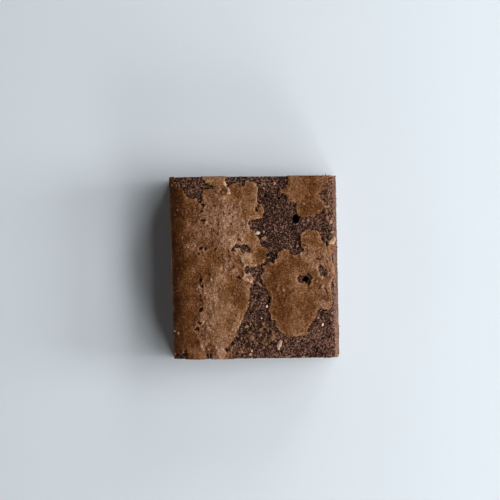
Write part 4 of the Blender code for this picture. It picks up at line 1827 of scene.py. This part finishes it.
TONE_SPOTS = (
    Spot(-11.0, 20.0, 6.0, 9.0, 0.05), Spot(-6.0, 11.0, 5.0, 5.0, 0.08),
    Spot(-13.5, -14.0, 5.0, 12.0, 0.05), Spot(-18.0, 3.0, 5.0, 4.0, -0.03),
    Spot(-6.5, -10.5, 2.5, 4.5, -0.07), Spot(-25.5, -12.0, 4.0, 16.0, -0.05),
    # The long dark spots at x = -31.5 and -28.5 mm along the rolled left edge are partly a darker crust and
    # partly painted shade.
    Spot(-31.5, 0.0, 3.2, 60.0, -0.19), Spot(-28.5, 18.0, 2.2, 10.0, -0.08),
    # The thin pale line at x = -32.1 mm along the left rim is a painted highlight.
    Spot(-32.1, -2.0, 0.40, 22.0, 0.42), Spot(-1.0, 4.0, 3.0, 3.0, 0.05),
    Spot(-12.5, -32.0, 3.0, 3.0, 0.06), Spot(-24.5, 20.0, 2.0, 5.0, -0.05),
    Spot(-16.0, 23.5, 4.5, 3.5, 0.05), Spot(-8.5, 7.5, 4.0, 3.5, 0.06),
    Spot(-19.5, -17.0, 4.0, 3.5, 0.05), Spot(-14.0, -30.5, 3.0, 6.0, 0.07),
    Spot(-7.0, -20.5, 2.5, 4.5, 0.05), Spot(-25.0, 15.0, 3.0, 4.0, -0.05),
    Spot(-12.0, 29.0, 2.5, 1.2, -0.08), Spot(8.0, -3.5, 3.5, 4.0, -0.04),
    Spot(-16.5, 22.5, 4.0, 2.5, 0.03), Spot(23.0, 6.5, 5.0, 3.0, 0.05),
    Spot(28.0, 1.0, 2.0, 3.0, 0.04), Spot(27.5, -12.0, 3.0, 4.0, -0.05),
    Spot(-22.0, -17.0, 3.0, 3.0, 0.06), Spot(-8.0, 3.0, 3.5, 4.5, 0.03), Spot(-1.5, -8.0, 2.0, 3.0, 0.05),
    Spot(-27.0, -26.0, 2.5, 5.0, -0.05), Spot(-12.0, 1.5, 4.0, 3.0, 0.05),
    Spot(15.5, -6.5, 4.0, 3.0, 0.07), Spot(20.0, 28.0, 6.0, 6.0, -0.045),
    Spot(16.0, 22.5, 3.0, 2.5, 0.04), Spot(-19.2, 17.0, 1.8, 3.0, -0.07), Spot(9.0, -6.5, 2.5, 2.0, -0.05),
    Spot(22.5, 11.5, 2.5, 2.0, 0.05), Spot(27.0, 3.0, 1.8, 2.5, 0.05), Spot(-10.5, -20.5, 2.5, 2.5, 0.04),
    Spot(-13.0, 24.0, 3.0, 2.0, 0.04), Spot(-15.0, 12.5, 2.0, 2.5, 0.04), Spot(27.0, -8.5, 2.0, 1.8, -0.06),
    Spot(-9.5, -13.5, 2.5, 2.5, -0.04), Spot(-26.5, -21.0, 1.8, 4.0, -0.05), Spot(-9.5, 22.0, 3.5, 3.0, 0.04),
    Spot(-9.5, 7.5, 3.5, 3.0, 0.04),
    Spot(-27.0, -26.5, 3.0, 3.5, -0.05), Spot(-27.0, 8.5, 2.5, 3.5, -0.05), Spot(-7.0, -8.0, 2.5, 2.5, 0.05),
    Spot(29.8, 8.4, 1.8, 1.4, 0.15),
)


@dataclass
class CrustSheet:
    """One sheet of crust: a thin closed shell with a ragged rim, curled up here and there."""

    name: str
    outline: Outline
    form: CakeForm
    crust: CrustMap
    lift: float = 0.0
    cell: float = 0.21 * MM
    thickness: float = 0.80 * MM
    rise: float = 0.50 * MM
    edge_thinning: float = 0.22 * MM
    curl_height: float = 0.55 * MM
    curl_reach: float = 1.3 * MM
    curl_waves: Waves = Waves(53, 4.0 * MM)
    curled: Range = (0.05, 0.7)
    relief_scale: float = MM / 1.2
    rim_gap: float = 0.05 * MM
    rim_rag: Waves = Waves(51, 1.0 * MM, 2, 0.10 * MM)
    thin_reach: float = 0.8 * MM
    base_tone: float = 0.555
    break_and_highlight_tone: float = 0.17
    flat_share: float = 0.4
    slide_step: float = 0.04 * MM
    slide_share: float = 0.35

    def build(self) -> bpy.types.Object:
        """Make the sheet and dress it.

        Returns:
            The finished piece.
        """
        piece = self._flat_sheet()
        self._snap_rim(piece)
        self._drape(piece)
        piece.data.materials.append(CrustFinish().material())
        piece.data.materials.append(EDGE_FINISH.material())
        piece.data.shade_smooth()
        apply_modifier(
            piece, "SOLIDIFY", thickness=self.thickness, offset=-1.0, material_offset_rim=1
        )
        return hand_over(piece, Slot.CRUST)

    def _cover(self, x: Array, y: Array) -> Array:
        """Distance into this sheet, which also ends at the cuts.

        Args:
            x: Places across.
            y: Places back.

        Returns:
            One distance for each place.
        """
        rag = self.rim_rag.over(x, y)
        cover = self.crust.cover((self.outline,), x, y)
        return np.minimum(cover, self.form.to_cut(x, y) - self.rim_gap + rag)

    def _flat_sheet(self) -> bpy.types.Object:
        """A flat grid cut down to the cells that the sheet covers.

        Returns:
            The flat sheet.
        """
        curve = self.outline.curve()
        low = np.maximum(curve.min(axis=0), (-self.form.width / 2, -self.form.depth / 2))
        high = np.minimum(curve.max(axis=0), (self.form.width / 2, self.form.depth / 2))
        counts = np.ceil((high - low) / self.cell).astype(int)
        deselect_all()
        bpy.ops.mesh.primitive_grid_add(
            x_subdivisions=int(counts[0]), y_subdivisions=int(counts[1]), size=1.0
        )
        piece = added(self.name)
        points = read_rows(piece.data.vertices, "co")
        points[:, :2] = (low + high) / 2 + points[:, :2] * counts * self.cell
        write_points(piece.data, points)
        centres = read_rows(piece.data.polygons, "center")
        covered = (self._cover(centres[:, 0], centres[:, 1]) > 0.0).reshape(counts[1], counts[0])
        select_faces(piece, ~self._without_corner_touches(covered).ravel())
        bpy.ops.mesh.delete(type="FACE")
        bpy.ops.object.mode_set(mode="OBJECT")
        return piece

    @staticmethod
    def _without_corner_touches(covered: Array) -> Array:
        """Fill cells until no two covered cells of the grid touch at a corner alone.

        Args:
            covered: True for each cell that the sheet covers.

        Returns:
            True for each cell to keep.
        """
        covered = covered.copy()
        while True:
            a, b = covered[:-1, :-1], covered[:-1, 1:]
            c, d = covered[1:, :-1], covered[1:, 1:]
            rising = b & c & ~a & ~d
            falling = a & d & ~b & ~c
            if not (rising.any() or falling.any()):
                return covered
            covered[:-1, :-1] |= rising
            covered[:-1, 1:] |= falling

    def _snap_rim(self, piece: bpy.types.Object) -> None:
        """Slide the rim's points onto the ragged outline.

        Args:
            piece: The flat sheet.
        """
        mesh = piece.data
        edge_points = np.empty(len(mesh.edges) * 2, int)
        mesh.edges.foreach_get("vertices", edge_points)
        loop_edges = np.empty(len(mesh.loops), int)
        mesh.loops.foreach_get("edge_index", loop_edges)
        faces_on_edge = np.bincount(loop_edges, minlength=len(mesh.edges))
        rim = np.unique(edge_points.reshape(-1, 2)[faces_on_edge == 1])
        points = read_rows(mesh.vertices, "co")
        step = self.slide_step
        farthest = self.slide_share * self.cell
        for _ in range(2):
            x, y = points[rim, 0], points[rim, 1]
            cover = self._cover(x, y)
            slope = np.stack([self._cover(x + step, y) - cover, self._cover(x, y + step) - cover], axis=1)
            slope /= np.maximum(np.linalg.norm(slope, axis=1), 1e-9)[:, None]
            slide = np.clip(cover, -farthest, farthest)
            points[rim, :2] -= slope * slide[:, None]
        write_points(mesh, points)

    def _drape(self, piece: bpy.types.Object) -> None:
        """Lay the flat sheet over the crumb, with its relief and its curled rim.

        Args:
            piece: The flat sheet.
        """
        points = read_rows(piece.data.vertices, "co")
        x, y = points[:, 0].copy(), points[:, 1].copy()
        inside = np.maximum(self._cover(x, y), 0.0)
        broken = np.maximum(self.crust.cover((self.outline,), x, y), 0.0)
        relief = CrustRelief(self.crust)
        rough = relief.roughness(x, y)
        fine = relief.fine(x, y, rough)
        height, tone = relief.broad(x, y)
        near_rim = 1.0 - smooth_step(inside, 0.0, self.thin_reach)
        near_break = 1.0 - smooth_step(broken, 0.0, self.curl_reach)
        curl = smooth_step(self.curl_waves.over(x, y), *self.curled) * near_break ** 2
        points[:, 0] = self.form.pull_in(x, y)
        points[:, 2] = self.form.top(x, y) + self.rise + self.lift + height + fine
        points[:, 2] += self.curl_height * curl - self.edge_thinning * near_rim * (1.0 - curl)
        write_points(piece.data, points)
        # Broken rims are paler and curled ones more so: partly the paler broken crust, partly a painted
        # highlight where a rim catches the light.
        tone = tone + self.break_and_highlight_tone * near_break * (self.flat_share + curl)
        keep_number(piece.data, "tone", self.base_tone + tone)
        # The relief kept here darkens pits and pores and pales crests in the finish: painted shade and
        # highlight.
        keep_number(piece.data, "relief", np.clip(0.5 + fine / self.relief_scale, 0.0, 1.0))
        keep_number(piece.data, "blisters", rough)


# Loose grains and flakes


@dataclass(frozen=True)
class Flake:
    """One loose flake or crumb on the top, in millimetres."""

    x: float
    y: float
    length: float
    width: float
    turn: float


FLAKES = {
    FlakeTone.CRUST: (
        Flake(16.3, 16.4, 0.9, 0.6, 30), Flake(10.2, -30.2, 0.9, 0.7, 0), Flake(1.2, -25.6, 1.4, 1.0, 15),
        Flake(6.8, -33.2, 1.6, 0.5, 10), Flake(-4.2, 29.0, 0.9, 0.5, 40), Flake(-13.0, 33.6, 2.6, 1.4, -15),
        Flake(-1.6, -26.6, 2.4, 0.9, 120), Flake(1.8, -23.4, 1.4, 1.0, 40),
        Flake(10.2, -32.0, 0.9, 0.7, 60),
    ),
    FlakeTone.PINK: (
        Flake(3.5, 13.8, 1.0, 0.7, 80), Flake(3.8, 30.5, 0.8, 0.6, 10), Flake(8.0, 32.0, 1.1, 0.7, 60),
        Flake(16.2, 8.0, 1.0, 0.8, 0), Flake(17.5, 5.0, 1.4, 0.9, 85), Flake(23.6, -19.6, 1.0, 0.8, 0),
        Flake(8.6, -29.5, 2.8, 1.8, 65), Flake(11.6, -34.0, 2.0, 0.4, 5), Flake(30.4, 17.0, 1.4, 1.0, 70),
        Flake(30.9, 13.0, 1.2, 0.9, 20), Flake(-2.0, -31.6, 1.0, 0.8, 0),
    ),
    FlakeTone.PALE: (
        Flake(1.2, 13.3, 1.8, 1.2, 20), Flake(4.1, -14.8, 1.0, 0.8, 45), Flake(25.3, -22.1, 1.2, 0.8, 70),
        Flake(8.3, -31.1, 0.8, 0.6, 20), Flake(-29.8, -24.3, 0.8, 0.7, 0), Flake(-31.2, -23.5, 0.6, 0.6, 0),
        Flake(15.3, -10.7, 0.8, 0.4, -30),
    ),
    FlakeTone.ORANGE: (
        Flake(28.2, 18.6, 1.5, 1.1, 70), Flake(-2.5, -33.0, 1.3, 0.9, 40),
    ),
    FlakeTone.CREAM: (
        Flake(31.0, 9.7, 3.4, 1.7, 48), Flake(-9.6, 29.0, 2.0, 1.3, 60), Flake(-10.9, 32.3, 1.6, 0.9, 110),
    ),
    FlakeTone.YELLOW: (
        Flake(20.6, 17.7, 1.0, 0.5, 90), Flake(-3.8, -22.3, 1.4, 1.2, 30), Flake(17.6, -34.3, 1.3, 0.7, 0),
        Flake(-16.8, 33.6, 2.8, 1.5, 12),
    ),
    FlakeTone.OLIVE: (
        Flake(5.8, -27.0, 2.4, 1.6, 50), Flake(6.6, -26.2, 1.8, 1.0, -40), Flake(2.6, -28.4, 2.5, 1.3, 80),
        Flake(1.5, -6.3, 3.2, 0.9, -42), Flake(3.6, 11.3, 2.2, 1.4, 30), Flake(-0.4, -22.0, 1.1, 0.8, 90),
    ),
}


UNEVEN_LUMP = (0.6, 1.25)
SEED_FACTOR = 31.0


def copies(
    name: str, places: Array, sizes: Array, tones: Array, tilt: float, rng: np.random.Generator
) -> bpy.types.Object:
    """Set turned, uneven copies of one small lump, joined as one mesh.

    Args:
        name: The piece's name.
        places: The middle of each copy, in metres.
        sizes: Half the length, width and height of each copy, in metres.
        tones: Each copy's tone, from 0 to 1.
        tilt: The steepest tilt from lying flat, in radians.
        rng: Draws the turns and the uneven corners.

    Returns:
        The joined piece.
    """
    deselect_all()
    bpy.ops.mesh.primitive_ico_sphere_add(subdivisions=1, radius=1.0)
    piece = added(name)
    lump = read_rows(piece.data.vertices, "co")
    corners = np.array([list(face.vertices) for face in piece.data.polygons])
    count = len(places)
    turn, tip = rng.uniform(0.0, 2.0 * math.pi, count), rng.uniform(-tilt, tilt, count)
    uneven = lump * rng.uniform(*UNEVEN_LUMP, (count, len(lump), 1)) * sizes[:, None, :]
    x, y, z = uneven.transpose(2, 0, 1)
    y, z = (y.T * np.cos(tip) - z.T * np.sin(tip)).T, (y.T * np.sin(tip) + z.T * np.cos(tip)).T
    x, y = (x.T * np.cos(turn) - y.T * np.sin(turn)).T, (x.T * np.sin(turn) + y.T * np.cos(turn)).T
    points = np.stack([x, y, z], axis=2) + places[:, None, :]
    faces = corners[None] + len(lump) * np.arange(count)[:, None, None]
    old = piece.data
    piece.data = bpy.data.meshes.new(name)
    piece.data.from_pydata(points.reshape(-1, 3).tolist(), [], faces.reshape(-1, 3).tolist())
    bpy.data.meshes.remove(old)
    keep_number(piece.data, "tone", np.repeat(tones, len(lump)))
    return piece


@dataclass
class CrumbGrains:
    """Fine grains of crumb that stick to the open top and to the cuts, as one mesh."""

    body: bpy.types.Object
    on_top: int = 4200
    on_cuts: int = 2600
    radius: Range = (0.12 * MM, 0.34 * MM)
    unevenness: Range = (0.7, 1.2)
    dark_share: float = 0.81
    cut_tones: Range = (0.35, 0.85)
    body_weight: float = 1.2
    least_bare: float = 0.95
    top_upright: float = 0.5
    cut_upright: float = 0.35
    seed: int = 19

    def build(self) -> bpy.types.Object:
        """Scatter copies of one small lump over the body's bare points.

        Returns:
            The finished piece.
        """
        rng = np.random.default_rng(self.seed)
        places, body_tone, on_cut = self._places(rng)
        size = between(self.radius, rng.random(len(places)) ** 2)
        sizes = size[:, None] * rng.uniform(*self.unevenness, (len(places), 3))
        drawn = rng.random(len(places))
        tones = np.where(on_cut, between(self.cut_tones, drawn), drawn) + self.body_weight * (body_tone - 0.5)
        tones = np.where(drawn > self.dark_share, 1.0, np.clip(tones, 0.0, 1.0))
        piece = copies("crumb_grains", places, sizes, tones, 0.5 * math.pi, rng)
        piece.data.materials.append(GRAIN_FINISH.material())
        return hand_over(piece, Slot.CRUMB)

    def _places(self, rng: np.random.Generator) -> tuple[Array, Array, Array]:
        """Draw bare points of the body, some on the open top and some on the cuts.

        Args:
            rng: Draws the points.

        Returns:
            Each point's place, the body's tone there, and whether it is on a cut.
        """
        mesh = self.body.data
        points = read_rows(mesh.vertices, "co")
        bare = read_number(mesh, "bare")
        upright = read_rows(mesh.vertices, "normal")[:, 2]
        is_bare = bare > self.least_bare
        on_top = np.flatnonzero(is_bare & (upright > self.top_upright))
        on_cut = np.flatnonzero(is_bare & (np.abs(upright) < self.cut_upright))
        chosen = np.concatenate([
            rng.choice(on_top, self.on_top, replace=False), rng.choice(on_cut, self.on_cuts, replace=False)
        ])
        return points[chosen], read_number(mesh, "tone")[chosen], np.arange(len(chosen)) >= self.on_top


@dataclass
class CrustCrumbs:
    """Tiny loose bits of crust all over the top, thickest where it broke up, as one mesh."""

    form: CakeForm
    crust: CrustMap
    sheets: tuple[Outline, ...]
    crust_rise: float = 0.55 * MM
    crumb_rise: float = 0.10 * MM
    scattered: int = 320
    heaps: tuple[Spot, ...] = (
        Spot(1.4, -26.2, 3.8, 3.4, 240),
        Spot(-8.2, -31.6, 1.6, 1.4, 50),
        Spot(28.4, 23.6, 1.4, 3.4, 80),
        Spot(26.8, 9.2, 0.9, 1.2, 24),
        Spot(-24.0, 30.6, 2.8, 1.6, 36),
        Spot(23.0, 17.2, 2.8, 1.2, 24),
        Spot(-7.0, -31.0, 2.0, 1.8, 26),
        Spot(25.0, -19.5, 2.2, 1.8, 20),
    )
    length: Range = (0.18 * MM, 0.70 * MM)
    thinnest: tuple[float, float, float] = (0.8, 0.6, 0.4)
    thickest: tuple[float, float, float] = (1.1, 0.9, 0.7)
    tilt: float = 0.5
    heaped_tone: float = 0.74
    heaped_growth: float = 1.4
    scattered_darkening: float = 1.6
    margin: float = 1.0 * MM
    seed: int = 29

    def build(self) -> bpy.types.Object:
        """Scatter flat copies of one small lump over the top.

        Returns:
            The finished piece.
        """
        rng = np.random.default_rng(self.seed)
        drawn = [rng.uniform(-0.5, 0.5, (self.scattered, 2)) * (self.form.width, self.form.depth)]
        for heap in self.heaps:
            spread = rng.normal(size=(int(heap.strength), 2)) * (heap.across, heap.back)
            drawn.append((spread + (heap.x, heap.y)) * MM)
        x, y = np.concatenate(drawn).T
        is_heaped = np.arange(len(x)) >= self.scattered
        cover = self.crust.cover(self.sheets, x, y)
        kept = (self.form.to_cut(x, y) > self.margin) & ((cover < 0.0) | ~is_heaped)
        x, y, cover, is_heaped = x[kept], y[kept], cover[kept], is_heaped[kept]
        length = between(self.length, rng.random(len(x)) ** 3) * np.where(is_heaped, self.heaped_growth, 1.0)
        sizes = length[:, None] * rng.uniform(self.thinnest, self.thickest, (len(x), 3))
        rise = np.where(cover > 0.0, self.crust_rise, self.crumb_rise)
        height = self.form.top(x, y) + rise + 0.5 * sizes[:, 2]
        places = np.stack([self.form.pull_in(x, y), y, height], axis=1)
        drawn_tones = rng.random(len(x))
        tones = np.where(is_heaped, self.heaped_tone * drawn_tones, drawn_tones ** self.scattered_darkening)
        piece = copies("crust_crumbs", places, sizes, tones, self.tilt, rng)
        piece.data.materials.append(CRUST_CRUMB_FINISH.material())
        return hand_over(piece, Slot.CRUST)


@dataclass
class LooseFlakes:
    """The larger loose flakes of crust on the top, one mesh to each tone."""

    form: CakeForm
    crust: CrustMap
    sheets: tuple[Outline, ...]
    crust_rise: float = 0.50 * MM
    thickness: float = 0.5
    wide_break: Waves = Waves(83, 0.55, 1, 0.55)
    fine_break: Waves = Waves(85, 0.24, 1, 0.33)
    curl: float = 0.35
    twist: float = 0.5
    stand: float = 0.15 * MM
    tilt: float = 0.3

    def build(self) -> None:
        """Make the flakes of each tone."""
        for tone in FlakeTone:
            self._joined(tone)

    def _joined(self, tone: FlakeTone) -> None:
        """Model each flake of one tone and join them.

        Args:
            tone: The tone whose flakes to make.
        """
        deselect_all()
        made = [self._flake(flake, number) for number, flake in enumerate(FLAKES[tone])]
        for piece in made:
            piece.select_set(True)
        bpy.context.view_layer.objects.active = made[0]
        bpy.ops.object.join()
        kind = f"{tone.name.lower()}_flake"
        piece = added(f"{kind}s")
        bpy.ops.object.transform_apply(location=True, rotation=True, scale=True)
        piece.data.materials.append(DryFinish(kind, tone.value).material())
        hand_over(piece, Slot.CRUST)

    def _flake(self, flake: Flake, number: int) -> bpy.types.Object:
        """One thin, curled chip with a broken outline, set on the surface with a little tilt.

        Args:
            flake: The flake's place, size and turn.
            number: Its number in its tone.

        Returns:
            The flake's object.
        """
        rng = random.Random(flake.x * SEED_FACTOR + flake.y)
        bpy.ops.mesh.primitive_ico_sphere_add(subdivisions=3, radius=0.5)
        piece = added(f"flake_{number}")
        unit = read_rows(piece.data.vertices, "co")
        seat = unit + (flake.x, flake.y, 0.0)
        broken = 1.0 + self.wide_break.at(seat) + self.fine_break.at(seat)
        points = unit * broken[:, None] * (flake.length, flake.width, self.thickness * flake.width)
        bend = unit[:, 0] ** 2 + unit[:, 1] * rng.uniform(-self.twist, self.twist)
        points[:, 2] += self.curl * flake.width * bend
        write_points(piece.data, points * MM)
        x, y = np.array([flake.x * MM]), np.array([flake.y * MM])
        rise = self.crust_rise if self.crust.cover(self.sheets, x, y)[0] > 0.0 else 0.0
        height = float(self.form.top(x, y)[0]) + rise + self.stand
        piece.location = (float(self.form.pull_in(x, y)[0]), flake.y * MM, height)
        tips = [rng.uniform(-self.tilt, self.tilt) for _ in range(2)]
        piece.rotation_euler = (*tips, math.radians(flake.turn))
        deselect_all()
        return piece


# The studio


@dataclass(frozen=True)
class Pane:
    """One soft square lamp: its bearing from +X and its height in degrees, size and power."""

    bearing: float
    height: float
    size: float
    power: float


WINDOW = (
    Pane(0.0, 25.0, 0.30, 4.5), Pane(-60.0, 25.0, 0.30, 2.7), Pane(60.0, 25.0, 0.30, 2.0),
    Pane(-30.0, 46.0, 0.30, 1.3), Pane(30.0, 46.0, 0.30, 1.4), Pane(0.0, 62.0, 0.40, 2.2),
)
FILL = (Pane(150.0, 9.0, 0.20, 0.7), Pane(-150.0, 9.0, 0.20, 0.7))


@dataclass(frozen=True)
class Studio:
    """A pale floor, a wide window on the right, a weak low fill and the camera above."""

    floor_size: float = 3.0
    lamp_distance: float = 0.9
    target: Colour = (-1.87 * MM, 6.90 * MM, 28.0 * MM)
    camera_height: float = 0.600
    camera_turn: float = -1.2
    view_width: float = 190.4 * MM
    sensor: float = 36.0
    window_colour: Colour = (1.0, 1.0, 1.0)
    fill_colour: Colour = (1.0, 0.92, 0.84)
    sky_colour: Colour = (0.86, 0.93, 1.0)
    sky_strength: float = 0.03

    def build(self) -> None:
        """Set up the floor, the lights and the camera."""
        self._floor()
        for number, pane in enumerate(WINDOW):
            self._lamp(f"window_{number}", pane, self.window_colour)
        for number, pane in enumerate(FILL):
            self._lamp(f"fill_{number}", pane, self.fill_colour)
        self._sky()
        self._camera()

    def _floor(self) -> None:
        """A large plain floor under the cake."""
        deselect_all()
        bpy.ops.mesh.primitive_plane_add(size=self.floor_size)
        floor = added("floor")
        floor.data.materials.append(FloorFinish().material())

    def _lamp(self, name: str, pane: Pane, colour: Colour) -> None:
        """A soft lamp that points at the cake.

        Args:
            name: The lamp's name.
            pane: Its place, size and power.
            colour: Its light's colour.
        """
        lamp = bpy.data.lights.new(name, "AREA")
        lamp.shape = "SQUARE"
        lamp.size = pane.size
        lamp.energy = pane.power
        lamp.color = colour
        bearing, height = math.radians(pane.bearing), math.radians(pane.height)
        away = Vector((math.cos(bearing) * math.cos(height), math.sin(bearing) * math.cos(height),
                       math.sin(height)))
        holder = bpy.data.objects.new(name, lamp)
        holder.location = away * self.lamp_distance
        holder.rotation_euler = (-away).to_track_quat("-Z", "Y").to_euler()
        holder.visible_camera = False
        bpy.context.scene.collection.objects.link(holder)

    def _sky(self) -> None:
        """Weak even light from all round."""
        world = bpy.data.worlds.new("soft_sky")
        world.use_nodes = True
        background = world.node_tree.nodes["Background"]
        background.inputs["Color"].default_value = (*self.sky_colour, 1.0)
        background.inputs["Strength"].default_value = self.sky_strength
        bpy.context.scene.world = world
        bpy.context.scene.view_settings.view_transform = "Standard"

    def _camera(self) -> None:
        """A camera straight above, turned a little."""
        camera = bpy.data.cameras.new("camera")
        camera.sensor_width = self.sensor
        camera.lens = self.sensor * self.camera_height / self.view_width
        holder = bpy.data.objects.new("camera", camera)
        holder.location = Vector(self.target) + Vector((0.0, 0.0, self.camera_height))
        holder.rotation_euler = (0.0, 0.0, math.radians(self.camera_turn))
        bpy.context.scene.collection.objects.link(holder)
        bpy.context.scene.camera = holder


def main() -> None:
    """Build the brownie piece by piece."""
    form = CakeForm()
    crust = CrustMap()
    outlines = (UPPER_SHEET, LOWER_SHEET, RIGHT_SHEET, BACK_SHEET)
    body = CakeBody(form, crust, outlines).build()
    CrustSheet("crust_lower_left", LOWER_SHEET, form, crust).build()
    CrustSheet("crust_upper_left", UPPER_SHEET, form, crust, lift=0.20 * MM).build()
    CrustSheet("crust_right", RIGHT_SHEET, form, crust).build()
    CrustSheet("crust_back", BACK_SHEET, form, crust).build()
    CrumbGrains(body).build()
    CrustCrumbs(form, crust, outlines).build()
    LooseFlakes(form, crust, outlines).build()
    Studio().build()


if __name__ == "__main__":
    logging.basicConfig(level=logging.INFO, format="%(message)s")
    main()
